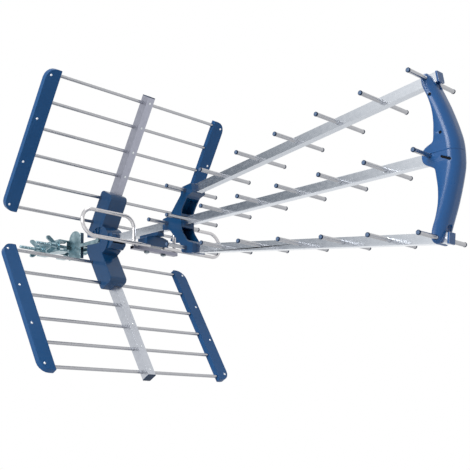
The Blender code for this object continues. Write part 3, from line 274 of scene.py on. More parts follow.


# %% [markdown]
# ## Floor, background and lights
# The floor is a large plain sheet well below the antenna, which hangs on its fixing in the
# open. The white background is the world as the camera and the reflections see it; the world
# lights the object less than that. The floor adds some of that white too, as a glow. The metal
# sees it darker under the antenna and whiter far out: a painted shade in the glow, standing for
# how a real floor in a bright room is lit. The object's shadow stays on it.

# %% Floor
FLOOR_Z = -0.95
FLOOR_FROM, FLOOR_TO = (-8, -8), (9, 8)
NEAR, FAR = 0.8, 4.0
NEAR_PAINTED_GLOW, FAR_PAINTED_GLOW, CAMERA_WHITE = 0.15, 0.65, 0.58
floor_mesh = bpy.data.meshes.new("floor")
floor_mesh.from_pydata([(FLOOR_FROM[0], FLOOR_FROM[1], FLOOR_Z), (FLOOR_TO[0], FLOOR_FROM[1], FLOOR_Z),
                        (FLOOR_TO[0], FLOOR_TO[1], FLOOR_Z), (FLOOR_FROM[0], FLOOR_TO[1], FLOOR_Z)],
                       [], [(0, 1, 2, 3)])
floor = bpy.data.objects.new("floor", floor_mesh)
bpy.context.scene.collection.objects.link(floor)


def background_rays(tree):
    """1 for the rays that should see the white background: camera, glossy and transmission rays."""
    path = add_node(tree, "ShaderNodeLightPath").outputs
    two = add_node(tree, "ShaderNodeMath", {0: path["Is Camera Ray"], 1: path["Is Glossy Ray"]},
                   operation="MAXIMUM")
    return add_node(tree, "ShaderNodeMath", {0: two.outputs["Value"], 1: path["Is Transmission Ray"]},
                    operation="MAXIMUM").outputs["Value"]


floor_paint, floor_tree, floor_shader = new_material("matt white floor", "#E9EAEC", 0.9)
floor_place = add_node(floor_tree, "ShaderNodeTexCoord").outputs["Object"]
from_middle = add_node(floor_tree, "ShaderNodeVectorMath", {0: floor_place}, operation="LENGTH")
# painted shade: the glow that reflections see is weak near the middle, under the antenna, and grows far
# out
painted_floor_glow = add_node(floor_tree, "ShaderNodeMapRange", {
    "Value": from_middle.outputs["Value"], "From Min": NEAR, "From Max": FAR,
    "To Min": NEAR_PAINTED_GLOW, "To Max": FAR_PAINTED_GLOW})
camera_sees = add_node(floor_tree, "ShaderNodeLightPath").outputs["Is Camera Ray"]
to_camera = add_node(floor_tree, "ShaderNodeMath", {0: camera_sees, 1: CAMERA_WHITE},
                     operation="MULTIPLY")
seen = add_node(floor_tree, "ShaderNodeMath", {
    0: painted_floor_glow.outputs["Result"], 1: to_camera.outputs["Value"]}, operation="MAXIMUM")
lift = add_node(floor_tree, "ShaderNodeMath", {0: background_rays(floor_tree), 1: seen.outputs["Value"]},
                operation="MULTIPLY")
floor_shader.inputs["Emission Color"].default_value = (1, 1, 1, 1)
floor_tree.links.new(lift.outputs["Value"], floor_shader.inputs["Emission Strength"])
floor_mesh.materials.append(floor_paint)
print("floor at", FLOOR_Z, "m")


# %% [markdown]
# A picture of bright metal needs something dark to reflect. A studio hangs a grey card beside
# the camera's view for that. Here it is a patch of the world with soft edges, low behind the
# antenna's right side, which the camera itself never sees. The flat sides of the booms reflect
# it, and its edges make their tone run from dark to light along them.

# %% World
CARD_GREY = "#56616D"
WORLD_LIGHT = 0.38
CARD_EDGES = (("X", -0.46, -0.64), ("X", -0.78, -0.72), ("Y", -0.15, -0.45), ("Z", 0.14, 0.24),
              ("Z", 0.40, 0.28))
world = bpy.data.worlds.new("studio")
bpy.context.scene.world = world
world.use_nodes = True
sky = world.node_tree
background = sky.nodes["Background"]
camera_ray = add_node(sky, "ShaderNodeLightPath").outputs["Is Camera Ray"]
looking = add_node(sky, "ShaderNodeTexCoord").outputs["Generated"]
axes = add_node(sky, "ShaderNodeSeparateXYZ", {"Vector": looking})
card = add_node(sky, "ShaderNodeMath", {0: 1.0, 1: camera_ray}, operation="SUBTRACT")
for axis, outside, inside in CARD_EDGES:
    # each edge runs from 0 to 1 between two values of the direction's X, Y or Z
    edge = add_node(sky, "ShaderNodeMapRange", {
        "Value": axes.outputs[axis], "From Min": outside, "From Max": inside},
        interpolation_type="SMOOTHSTEP")
    card = add_node(sky, "ShaderNodeMath", {0: card.outputs["Value"], 1: edge.outputs["Result"]},
                    operation="MULTIPLY")
grey = add_node(sky, "ShaderNodeMix", {
    "Factor": card.outputs["Value"], "A": (1, 1, 1, 1), "B": linear(CARD_GREY)}, data_type="RGBA")
level = add_node(sky, "ShaderNodeMapRange", {
    "Value": background_rays(sky), "To Min": WORLD_LIGHT, "To Max": 1.0})
sky.links.new(grey.outputs["Result"], background.inputs["Color"])
sky.links.new(level.outputs["Result"], background.inputs["Strength"])
print("world light on the object:", WORLD_LIGHT)


# %% [markdown]
# Three rectangular lamps, as a studio's soft boxes. The key stands to the antenna's right and
# above it, and is kept out of what the booms' flat sides reflect. One overhead fills the tops,
# and a low one the undersides, which this camera looks at.

# %% Lamps
def soft_lamp(name, place, target, width, height, power):
    """A rectangular lamp that points at a place."""
    data = bpy.data.lights.new(name, "AREA")
    data.shape = "RECTANGLE"
    data.size, data.size_y, data.energy = width, height, power
    lamp = bpy.data.objects.new(name, data)
    bpy.context.scene.collection.objects.link(lamp)
    aim = (Vector(target) - Vector(place)).to_track_quat("-Z", "Y").to_matrix().to_4x4()
    lamp.matrix_world = Matrix.Translation(place) @ aim
    print(f"{name} lamp: {power:g} W")


soft_lamp("key", (0.98, -2.9, 1.15), (0.65, 0, 0), width=1.5, height=1.4, power=64.0)
soft_lamp("top", (0.4, 0.4, 2.6), (0.4, 0, 0), width=1.4, height=1.0, power=20.0)
soft_lamp("low", (0.75, -0.8, -1.3), (0.1, 0, 0), width=1.0, height=0.8, power=20.0)
bpy.context.scene.view_settings.view_transform = "Standard"


# %% [markdown]
# ## Growing repeated pieces
# Rods, caps, rivets and screws repeat one shape. A Geometry Nodes tree makes such a shape from
# its sizes, puts one at each point of a bare mesh, and turns the lot into a real mesh. Every
# point carries a direction, called aim, that the shape's axis follows.

# %% Trees that put a shape at points
SIZE, WHOLE, STUFF = "NodeSocketFloat", "NodeSocketInt", "NodeSocketMaterial"
SHARP = 35.0


def new_tree(name, inputs):
    """An empty tree that takes a mesh and some named sizes."""
    tree = bpy.data.node_groups.new(name, "GeometryNodeTree")
    tree.interface.new_socket("Geometry", in_out="INPUT", socket_type="NodeSocketGeometry")
    for word, kind in inputs.items():
        tree.interface.new_socket(word, in_out="INPUT", socket_type=kind)
    tree.interface.new_socket("Geometry", in_out="OUTPUT", socket_type="NodeSocketGeometry")
    print("tree:", name, "takes", ", ".join(inputs))
    return tree, add_node(tree, "NodeGroupInput").outputs


def end_tree(tree, shape, stuff, points=None):
    """Put the shape at every point, aimed, if there are points; make it real, with its material."""
    if points:
        aim = add_node(tree, "GeometryNodeInputNamedAttribute", {"Name": "aim"},
                       data_type="FLOAT_VECTOR")
        turn = add_node(tree, "FunctionNodeAlignRotationToVector", {
            "Vector": aim.outputs["Attribute"]}, axis="Z")
        shape = add_node(tree, "GeometryNodeInstanceOnPoints", {
            "Points": points, "Instance": shape,
            "Rotation": turn.outputs["Rotation"]}).outputs["Instances"]
    real = add_node(tree, "GeometryNodeRealizeInstances", {"Geometry": shape})
    dressed = add_node(tree, "GeometryNodeSetMaterial", {
        "Geometry": real.outputs["Geometry"], "Material": stuff})
    add_node(tree, "NodeGroupOutput", {"Geometry": dressed.outputs["Geometry"]})


# %% Running a tree
def evaluated_mesh(obj):
    """The mesh that an object's modifiers give."""
    seen_by = bpy.context.evaluated_depsgraph_get()
    return bpy.data.meshes.new_from_object(obj.evaluated_get(seen_by))


def bake_tree(name, mesh, tree, values):
    """Run a tree on a mesh and keep the result as a plain one."""
    obj = bpy.data.objects.new(name, mesh)
    bpy.context.scene.collection.objects.link(obj)
    modifier = obj.modifiers.new("grow", "NODES")
    modifier.node_group = tree
    for item in tree.interface.items_tree:
        if item.in_out == "INPUT" and item.name in values:
            modifier[item.identifier] = values[item.name]
    plain = evaluated_mesh(obj)
    obj.modifiers.clear()
    obj.data = plain
    plain.name = name
    plain.shade_smooth()
    plain.set_sharp_from_angle(angle=math.radians(SHARP))
    return obj


def grow(name, tree, places, aims, values):
    """Put a tree's shape at every place, its axis along the aim."""
    mesh = bpy.data.meshes.new(name + "_points")
    mesh.from_pydata([tuple(p) for p in places], [], [])
    aim = mesh.attributes.new("aim", "FLOAT_VECTOR", "POINT")
    for i, direction in enumerate(aims):
        aim.data[i].vector = direction
    return bake_tree(name, mesh, tree, values)


def finish_piece(obj, body, slot_name, *replaced):
    """Tell the frame what a piece rides on and the nodes it stands for. The slot name is not used."""
    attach(obj, body)
    if replaced:
        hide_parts(*replaced)
    print(f"{obj.name}: {len(obj.data.polygons)} faces")


# %% [markdown]
# ## Rods
# Directors and reflector rods are straight tubes. A circle drawn along a line is enough, and
# the tree takes the length, the radius and the number of sides.

# %% The rod tree
rod_tree, given = new_tree("straight rod", {"Length": SIZE, "Radius": SIZE, "Sides": WHOLE,
                                            "Finish": STUFF})
half = add_node(rod_tree, "ShaderNodeMath", {0: given["Length"], 1: 0.5}, operation="MULTIPLY")
minus = add_node(rod_tree, "ShaderNodeMath", {0: given["Length"], 1: -0.5}, operation="MULTIPLY")
start = add_node(rod_tree, "ShaderNodeCombineXYZ", {"Z": minus.outputs["Value"]})
stop = add_node(rod_tree, "ShaderNodeCombineXYZ", {"Z": half.outputs["Value"]})
line = add_node(rod_tree, "GeometryNodeCurvePrimitiveLine", {
    "Start": start.outputs["Vector"], "End": stop.outputs["Vector"]})
ring = add_node(rod_tree, "GeometryNodeCurvePrimitiveCircle", {
    "Resolution": given["Sides"], "Radius": given["Radius"]})
tube = add_node(rod_tree, "GeometryNodeCurveToMesh", {
    "Curve": line.outputs["Curve"], "Profile Curve": ring.outputs["Curve"], "Fill Caps": True})
end_tree(rod_tree, tube.outputs["Mesh"], given["Finish"], given["Geometry"])


# %% [markdown]
# ## Turned shapes
# A plug, a rivet or a screw is round about its axis, so its outline says everything. The tree
# draws a line as long as the piece, reads its radius along the way from a curve, and wraps
# circles round it. One such tree serves each outline.

# %% A tree for a turned outline
def turned_tree(name, outline, steps):
    """outline: (place along the axis, radius), both from 0 to 1."""
    tree, inside = new_tree(name, {"Length": SIZE, "Radius": SIZE, "Sides": WHOLE, "Finish": STUFF})
    tip = add_node(tree, "ShaderNodeCombineXYZ", {"Z": inside["Length"]})
    axis = add_node(tree, "GeometryNodeCurvePrimitiveLine", {"End": tip.outputs["Vector"]})
    many = add_node(tree, "GeometryNodeResampleCurve", {"Curve": axis.outputs["Curve"],
                                                        "Count": steps})
    where = add_node(tree, "GeometryNodeSplineParameter")
    shape = add_node(tree, "ShaderNodeFloatCurve", {"Value": where.outputs["Factor"]})
    curve = shape.mapping.curves[0]
    while len(curve.points) < len(outline):
        curve.points.new(0.5, 0.5)
    for point, place in zip(curve.points, outline):
        point.location = place
        point.handle_type = "VECTOR"
    shape.mapping.update()
    circle = add_node(tree, "GeometryNodeCurvePrimitiveCircle", {
        "Resolution": inside["Sides"], "Radius": inside["Radius"]})
    skin = add_node(tree, "GeometryNodeCurveToMesh", {
        "Curve": many.outputs["Curve"], "Profile Curve": circle.outputs["Curve"],
        "Scale": shape.outputs["Value"], "Fill Caps": True})
    end_tree(tree, skin.outputs["Mesh"], inside["Finish"], inside["Geometry"])
    return tree


PLUG_TREE = turned_tree("rod plug", [(0.0, 1.0), (0.75, 1.0), (1.0, 0.9)], 9)
RIVET_TREE = turned_tree("rivet", [(0.0, 1.0), (0.35, 0.96), (0.62, 0.82), (0.85, 0.55), (1.0, 0.2)], 12)
HEX_TREE = turned_tree("hexagon head", [(0.0, 0.94), (0.1, 1.0), (0.85, 1.0), (1.0, 0.84)], 12)
PAN_TREE = turned_tree("pan head", [(0.0, 1.0), (0.45, 1.0), (0.75, 0.88), (0.93, 0.62), (1.0, 0.4)], 14)


# %% [markdown]
# ## Directors
# Twenty-two short tubes with a navy plug pressed in each end. A plug has a rim that covers the
# tube's edge and a paler face. The places are read from the frame, so the pieces can't drift
# from their solids; one piece holds the tubes, one the plugs and one their faces.

# %% Directors and plugs
DIRECTOR_R, TUBE_SHORTER = 4.4, 2
PLUG_R, PLUG_LENGTH = 4.8, 3.0
FACE_R, FACE_LENGTH, FACE_IN = 3.6, 0.5, 0.2
directors = sorted(n for n in nodes if "_director_" in n)
centres, ends, faces, outward = [], [], [], []
for node in directors:
    low, high = (Vector(c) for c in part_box(node))
    middle, reach = (low + high) / 2, (high.y - low.y) / 2
    centres.append(middle)
    for hand in (1, -1):
        ends.append(middle + Vector((0, hand * (reach - PLUG_LENGTH * MM), 0)))
        faces.append(middle + Vector((0, hand * (reach - FACE_IN * MM), 0)))
        outward.append((0, hand, 0))
tubes = grow("director_tubes", rod_tree, centres, [(0, 1, 0)] * len(centres), {
    "Length": high.y - low.y - TUBE_SHORTER * MM, "Radius": DIRECTOR_R * MM, "Sides": 28,
    "Finish": ROD_METAL})
finish_piece(tubes, "antenna", "director_aluminium", *directors)
plugs = grow("director_plugs", PLUG_TREE, ends, outward, {
    "Length": PLUG_LENGTH * MM, "Radius": PLUG_R * MM, "Sides": 24, "Finish": CAP_PE})
finish_piece(plugs, "antenna", "navy_plastic")
discs = grow("director_plug_faces", PLUG_TREE, faces, outward, {
    "Length": FACE_LENGTH * MM, "Radius": FACE_R * MM, "Sides": 20, "Finish": DISC_PE})
finish_piece(discs, "antenna", "navy_plastic")


# %% [markdown]
# ## Reflector rods
# Twelve longer tubes, whose ends go into the rails' sockets. They are the same drawn tube as
# the directors, a little thinner, so the same tree makes them.

# %% Reflector rods
ROD_R = 4.0
rods = sorted(n for n in nodes if "reflector_rod" in n)
rod_centres = []
for node in rods:
    low, high = (Vector(c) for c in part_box(node))
    rod_centres.append((low + high) / 2)
reflector = grow("reflector_rods", rod_tree, rod_centres, [(0, 1, 0)] * len(rods), {
    "Length": high.y - low.y, "Radius": ROD_R * MM, "Sides": 28, "Finish": ROD_METAL})
finish_piece(reflector, "antenna", "rod_aluminium", *rods)


# %% [markdown]
# ## Softened edges
# A moulded, drawn or pressed edge is never quite sharp, and the thin light along it is what
# makes it look real. A copy of the node is merged and its flat faces joined, a Bevel modifier
# rounds the edges, and the result replaces the node. Weighted normals then keep the flat faces
# flat in the light, which plain smooth shading would bend beside every rounding.

# %% Copying a node with rounded edges
BEVEL_FROM, FLAT_WITHIN = 28.0, 0.1
SAME_PLACE = 0.002
NORMAL_WEIGHT = 90


def settle(obj, sharp=SHARP):
    """Smooth shading whose flat faces stay flat beside their roundings."""
    obj.data.shade_smooth()
    obj.data.set_sharp_from_angle(angle=math.radians(sharp))
    flat = obj.modifiers.new("flat faces", "WEIGHTED_NORMAL")
    flat.mode, flat.weight, flat.keep_sharp = "FACE_AREA", NORMAL_WEIGHT, True
    obj.data = evaluated_mesh(obj)
    obj.modifiers.clear()
    obj.data.name = obj.name


def mesh_piece(name, bm, finish, width=0.0, segments=2):
    """A mesh object from a bmesh, with rounded edges and smooth shading. The width is in millimetres."""
    mesh = bpy.data.meshes.new(name)
    bm.to_mesh(mesh)
    bm.free()
    obj = bpy.data.objects.new(name, mesh)
    bpy.context.scene.collection.objects.link(obj)
    mesh.materials.append(finish)
    if width:
        rounding = obj.modifiers.new("edges", "BEVEL")
        rounding.width, rounding.segments = width * MM, segments
        rounding.limit_method, rounding.angle_limit = "ANGLE", math.radians(BEVEL_FROM)
        obj.data = evaluated_mesh(obj)
        obj.modifiers.clear()
    settle(obj)
    return obj


def soften(name, node, finish, width, body, slot_name, segments=2):
    """A piece from a copy of a node, with its edges rounded, that replaces the node."""
    copy = bmesh.new()
    copy.from_mesh(nodes[node].data)
    bmesh.ops.remove_doubles(copy, verts=copy.verts, dist=SAME_PLACE * MM)
    bmesh.ops.dissolve_limit(copy, verts=copy.verts, edges=copy.edges,
                             angle_limit=math.radians(FLAT_WITHIN))
    obj = mesh_piece(name, copy, finish, width, segments)
    finish_piece(obj, body, slot_name, node)


# %% [markdown]
# ## Booms and centre bars
# Rectangular tubes with small outside radii, which the die gives them. Their solids have every
# hole already, so copies with a small bevel are enough. Each tube has its own material, because
# the drawn lines follow its slope; the two bars' copies also differ in colour, as painted shade
# on the upper bar and painted light on the lower one.

# %% Booms and bars
for word in ("upper", "middle", "lower"):
    soften(f"{word}_boom_tube", f"{word}_boom", BOOM_METAL[word], 0.9, "antenna", "boom_aluminium")
for word in ("upper", "lower"):
    soften(f"{word}_bar_tube", f"{word}_centre_bar", BAR_METAL[word], 0.8, "antenna", "boom_aluminium")


# %% [markdown]
# ## The pieces' own directions
# Much of the antenna is built along a slope: the outer booms rise by about seven degrees and
# the reflector's panels lean by twenty-nine. Two small frames give a place along a boom and a
# place on a panel, so the fittings can be put down in plain millimetres.

# %% Frames of a boom and of a panel
FIRST_DIRECTOR_X, OUTER_BOOM_Z, DIRECTOR_PITCH = 491.5, 67.3, 107.8
INNER_ROD_X, INNER_ROD_Z, ROD_PITCH = 161.1, 51.7, 64.4


def boom_frame(level):
    """Matrix of the upper (1), middle (0) or lower (-1) boom; x runs along it from its first director."""
    return (Matrix.Translation((FIRST_DIRECTOR_X * MM, 0, level * OUTER_BOOM_Z * MM))
            @ Matrix.Rotation(-level * BOOM_TILT, 4, "Y"))


def panel_frame(side):
    """Matrix of a panel: x ahead of its rods' axes, y to the left, z up the panel."""
    matrix = Matrix.Identity(4)
    matrix.col[0][:3] = (math.cos(LEAN), 0, -side * math.sin(LEAN))
    matrix.col[2][:3] = (math.sin(LEAN), 0, side * math.cos(LEAN))
    matrix.translation = (INNER_ROD_X * MM, 0, side * INNER_ROD_Z * MM)
    return matrix


def block(low, high, matrix, into=None):
    """A box between two corners, given in millimetres in the matrix's own directions."""
    bm = into or bmesh.new()
    size = [(h - l) * MM for l, h in zip(low, high)]
    middle = [(h + l) / 2 * MM for l, h in zip(low, high)]
    place = Matrix.Translation(middle) @ Matrix.Diagonal((*size, 1.0))
    made = bmesh.ops.create_cube(bm, size=1.0, matrix=matrix @ place)
    if matrix.determinant() < 0:
        turned_in = {f for v in made["verts"] for f in v.link_faces}
        bmesh.ops.reverse_faces(bm, faces=list(turned_in))
    return bm


print("outer booms rise", round(math.degrees(BOOM_TILT), 2), "degrees, panels lean",
      round(math.degrees(LEAN), 1))


# %% [markdown]
# ## Plugs in the booms and bars
# Each outer boom ends in a blue plug with a raised rim, and each centre bar in a navy one. The
# solid of a tube holds its plug, so a box with rounded edges covers the end, 0.15 mm outside
# it, to give it the plastic's finish.

# %% Plugs
LAST_DIRECTOR, LAST_ROD = 6 * DIRECTOR_PITCH, 5 * ROD_PITCH
BOOM_END, BOOM_PLUG = LAST_DIRECTOR / math.cos(BOOM_TILT) + 16.8, 4.2
BOOM_PLUG_Y, BOOM_PLUG_Z = 10.4, 10.7
BAR_END, BAR_PLUG = LAST_ROD + 17.5, 2
BAR_SIDE, BAR_HALF = 12.0, 11
BAR_BEHIND, BAR_AHEAD = 6.2, 17.8
OVER = 0.15


def cover(low, high, matrix):
    """A box that stands a little outside the one between two corners."""
    return block([v - OVER for v in low], [v + OVER for v in high], matrix)


for level, word in ((1, "upper"), (-1, "lower")):
    plug = cover((BOOM_END, -BOOM_PLUG_Y, -BOOM_PLUG_Z),
                 (BOOM_END + BOOM_PLUG, BOOM_PLUG_Y, BOOM_PLUG_Z), boom_frame(level))
    finish_piece(mesh_piece(f"{word}_boom_plug", plug, BRACKET_ABS, 0.9, 3), "antenna", "blue_plastic")
    plug = cover((-BAR_BEHIND, BAR_SIDE - BAR_HALF, BAR_END),
                 (BAR_AHEAD, BAR_SIDE + BAR_HALF, BAR_END + BAR_PLUG), panel_frame(level))
    finish_piece(mesh_piece(f"{word}_bar_plug", plug, CAP_PE, 0.5), "antenna", "navy_plastic")


# %% [markdown]
# ## Rails and their rivets
# Each rail is a moulding with rounded corners, and four rivets through it hold the rods' ends.
# The centre bars carry a small rivet at each of the outer rods, which pins it: a low domed head
# on a thin flat rim. The heads repeat, so two of the turned trees make them.

# %% Rails
for side in ("upper", "lower"):
    for hand in ("left", "right"):
        soften(f"{side}_{hand}_rail_moulding", f"{side}_{hand}_rail", RAIL_ABS, 0.6, "antenna",
               "dark_blue_plastic")

# %% Rivets
RAIL_FACE, RAIL_RIVET_Y = 6.4, 276
RAIL_RIVETS = (4.0, 108.7, 213.3, 318.0)
BAR_FACE, PIN_UP = 17.7, 3
heads, facing, pins, pin_aims = [], [], [], []
for side in (1, -1):
    panel = panel_frame(side)
    ahead = tuple(panel.col[0][:3])
    for hand in (1, -1):
        for s in RAIL_RIVETS:
            heads.append(panel @ Vector((RAIL_FACE * MM, hand * RAIL_RIVET_Y * MM, s * MM)))
            facing.append(ahead)
    for k in range(2, 6):
        pins.append(panel @ Vector((BAR_FACE * MM, BAR_SIDE * MM, (ROD_PITCH * k + PIN_UP) * MM)))
        pin_aims.append(ahead)
rivets = grow("rail_rivets", RIVET_TREE, heads, facing, {
    "Length": 1.6 * MM, "Radius": 3.0 * MM, "Sides": 20, "Finish": RIVET_METAL})
finish_piece(rivets, "antenna", "rod_aluminium")
bar_rims = grow("bar_rivet_rims", PLUG_TREE, pins, pin_aims, {
    "Length": 0.5 * MM, "Radius": 3.4 * MM, "Sides": 20, "Finish": SCREW_METAL})
finish_piece(bar_rims, "antenna", "rod_aluminium")
bar_rivets = grow("bar_rivets", RIVET_TREE, pins, pin_aims, {
    "Length": 1.4 * MM, "Radius": 2.2 * MM, "Sides": 16, "Finish": RIVET_METAL})
finish_piece(bar_rivets, "antenna", "rod_aluminium")


# %% [markdown]
# ## The front bracket
# The bow that carries the three booms' ends is the antenna's largest moulding, and its long
# curve has to be smooth. Rings of points are laid from its lower end to its upper one. Each
# ring is flat behind and at the sides, with a small chamfer at the rear corners and two wide
# roundings in front. Two tables give the depth of the rear and of the front at a height, both
# in hundredths, and a smooth curve runs through them. Its box in the frame gives its true size.

# %% The bow's curves
BOW_REAR = ((0, 0), (5, 2), (8.5, 7), (11, 15), (13, 26), (15, 33), (18, 36), (26, 38), (39, 40),
            (55, 37), (70, 28), (85, 15), (100, 11))
BOW_FRONT = ((0, 0), (15, 2), (30, 10), (46, 21), (61, 33), (76, 47), (86, 56), (92, 63), (96, 68),
             (100, 72))
bow_low, bow_high = (Vector(c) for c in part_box("front_bracket"))
BOW_X, BOW_DEPTH = bow_low.x / MM, (bow_high.x - bow_low.x) / MM
BOW_TOP, BOW_HALF_W = bow_high.z / MM, bow_high.y / MM
print("bow, millimetres:", round(BOW_X, 2), round(BOW_DEPTH, 2), round(BOW_TOP, 2))


def follow(table, height):
    """Read a smooth curve through a table of (height, depth)."""
    z = min(abs(height) / BOW_TOP * 100, table[-1][0])
    last = len(table) - 1
    i = next(k for k in range(last) if z <= table[k + 1][0])
    (z0, x0), (z1, x1) = table[i], table[i + 1]
    before = table[i - 1] if i else (-table[1][0], table[1][1])
    after = table[i + 2] if i + 2 <= last else (2 * z1 - z0, 2 * x1 - x0)
    run = z1 - z0
    m0 = (x1 - before[1]) / (z1 - before[0]) * run
    m1 = (after[1] - x0) / (after[0] - z0) * run
    t = (z - z0) / run
    return BOW_DEPTH / 100 * ((2 * t**3 - 3 * t**2 + 1) * x0 + (t**3 - 2 * t**2 + t) * m0
                              + (3 * t**2 - 2 * t**3) * x1 + (t**3 - t**2) * m1)


def bow_rear(z):
    return BOW_X + follow(BOW_REAR, z)


def bow_front(z):
    return BOW_X + BOW_DEPTH - follow(BOW_FRONT, z)


# %% The bow's rings
END_ROUND, FRONT_ROUND, CHAMFER, LEAST_FLAT = 13.0, 20.0, 1.8, 0.5
SHOULDER = BOW_TOP - END_ROUND
TAPER_REAR, TAPER_FRONT, TAPER_SIDE = 0.5, 0.3, 0.95


def arc(centre, radius, start_angle, end_angle, steps=10):
    turn = (end_angle - start_angle) / steps
    return [(centre[0] + radius * math.cos(start_angle + turn * k),
             centre[1] + radius * math.sin(start_angle + turn * k)) for k in range(steps + 1)]


def bow_ring(z, shrink=0.0, behind=0.0, chamfer=CHAMFER):
    """One ring of points in millimetres at a height."""
    into = max(0.0, abs(z) - SHOULDER)
    taper = END_ROUND - math.sqrt(max(0.0, END_ROUND**2 - into**2))
    rear = bow_rear(z) + taper * TAPER_REAR - behind
    front = bow_front(z) - taper * TAPER_FRONT - shrink
    half_y = BOW_HALF_W - taper * TAPER_SIDE - shrink
    corner = min(FRONT_ROUND - shrink, half_y, front - rear - chamfer - LEAST_FLAT)
    points = [(rear + chamfer, -half_y)]
    points += arc((front - corner, -half_y + corner), corner, -math.pi / 2, 0)
    points += arc((front - corner, half_y - corner), corner, 0, math.pi / 2)
    cut_y = min(chamfer, half_y * 0.5)
    return points + [(rear + chamfer, half_y), (rear, half_y - cut_y), (rear, -half_y + cut_y)]


def loft(heights, ring_at):
    """Join rings at a list of heights into one closed skin."""
    bm = bmesh.new()
    rings = [[bm.verts.new((x * MM, y * MM, z * MM)) for x, y in ring_at(z)] for z in heights]
    for one, two in zip(rings, rings[1:]):
        for k in range(len(one)):
            n = (k + 1) % len(one)
            bm.faces.new((one[k], one[n], two[n], two[k]))
    bm.faces.new(list(reversed(rings[0])))
    bm.faces.new(rings[-1])
    bmesh.ops.recalc_face_normals(bm, faces=bm.faces)
    return bm


# %% [markdown]
# The rings stand close together, at 48 heights from the middle to the shoulder, and closer
# still round each end. Three of them make the seam, a fine groove where the mould's two halves
# meet: the middle one of the three is drawn in.

# %% The bow's skin
SEAM_Z, SEAM_HALF, SEAM_DEPTH = 3.6, 0.7, 1.5
RINGS = 48
heights = [SHOULDER * k / RINGS for k in range(RINGS)]
heights += [SHOULDER + END_ROUND * share for share in (0, 0.2, 0.38, 0.55, 0.7, 0.82, 0.92, 0.98)]
seam = {SEAM_Z - SEAM_HALF, SEAM_Z, SEAM_Z + SEAM_HALF}
heights = sorted({-z for z in heights} | set(heights) | seam)
bow = loft(heights, lambda z: bow_ring(z, SEAM_DEPTH if z == SEAM_Z else 0.0))
bow_piece = mesh_piece("bow_moulding", bow, BRACKET_ABS)
print("bow rings:", len(heights))


# %% [markdown]
# The bow is hollow from behind, lets the booms and directors through, and has two drilled
# holes, a slot and the recesses of its locking screws. Each opening is a solid that a Boolean
# modifier takes away; the exact solver keeps the long curve untouched beside it.

# %% Tools for cutting
def cut(obj, bm):
    """Take a bmesh's solid away from an object."""
    bmesh.ops.recalc_face_normals(bm, faces=bm.faces)
    mesh = bpy.data.meshes.new("tool")
    bm.to_mesh(mesh)
    bm.free()
    tool = bpy.data.objects.new("tool", mesh)
    bpy.context.scene.collection.objects.link(tool)
    modifier = obj.modifiers.new("cut", "BOOLEAN")
    modifier.operation, modifier.solver, modifier.object = "DIFFERENCE", "EXACT", tool
    obj.data = evaluated_mesh(obj)
    obj.modifiers.clear()
    bpy.data.objects.remove(tool, do_unlink=True)


def drill(radius, first, last, sides=32, into=None):
    """A cylinder between two places in millimetres."""
    bm = into or bmesh.new()
    first, last = Vector(first) * MM, Vector(last) * MM
    run = last - first
    place = Matrix.Translation((first + last) / 2) @ run.to_track_quat("Z", "Y").to_matrix().to_4x4()
    bmesh.ops.create_cone(bm, cap_ends=True, segments=sides, radius1=radius * MM, radius2=radius * MM,
                          depth=run.length, matrix=place)
    return bm


# %% The hollow, the booms and the directors
WALL, OPEN_BEHIND, HOLLOW_CHAMFER = 3.0, 15.0, 0.5
HOLLOW_FROM, HOLLOW_STEPS = 23.0, 24
HOLLOW_TO = BOW_TOP - 42.0
BOOM_ROOM_Y, BOOM_ROOM_Z, MIDDLE_BOOM_PAST = 9.3, 10.3, 8.3
DIRECTOR_ROOM_R, THROUGH = 4.7, Vector((0, 60, 0))
for side in (1, -1):
    room = [side * (HOLLOW_FROM + (HOLLOW_TO - HOLLOW_FROM) * k / HOLLOW_STEPS)
            for k in range(HOLLOW_STEPS + 1)]
    cut(bow_piece, loft(sorted(room), lambda z: bow_ring(z, WALL, OPEN_BEHIND, HOLLOW_CHAMFER)))
for level in (1, 0, -1):
    last_run = LAST_DIRECTOR / (math.cos(BOOM_TILT) if level else 1.0)
    past = BOW_DEPTH if level else MIDDLE_BOOM_PAST
    cut(bow_piece, block((last_run - BOW_DEPTH, -BOOM_ROOM_Y, -BOOM_ROOM_Z),
                         (last_run + past, BOOM_ROOM_Y, BOOM_ROOM_Z), boom_frame(level)))
    spot = boom_frame(level) @ Vector((last_run * MM, 0, 0)) / MM
    cut(bow_piece, drill(DIRECTOR_ROOM_R, spot - THROUGH, spot + THROUGH))
print("bow after its main openings:", len(bow_piece.data.polygons), "faces")


# %% [markdown]
# Two holes and a slot are open through the bow's right wall into its dark hollow. A black-blue
# skin just inside each stands for that shade, because the lamps reach further in than daylight
# would.

# %% Holes and slot
RIGHT = -BOW_HALF_W
OUTSIDE = RIGHT - 5
DRILLED = ((6.6, 0.716), (15.6, 0.238))     # ahead of the rear edge, share of the bow's height
HOLE_R, HOLE_DEPTH, SKIN_FROM = 3.3, 2.6, 1.3
SLOT_BACK, SLOT_Z, SLOT_TURN = 22.5, -10.5, math.radians(25)
SLOT_HALF, SLOT_R, SLOT_DEPTH, SLOT_SKIN_FROM = 9, 2.4, 2.4, 1.1
IN = 0.1                                    # the skin stands this far inside an opening's wall
APART = 0.02                                # and its three pieces in the slot differ by this
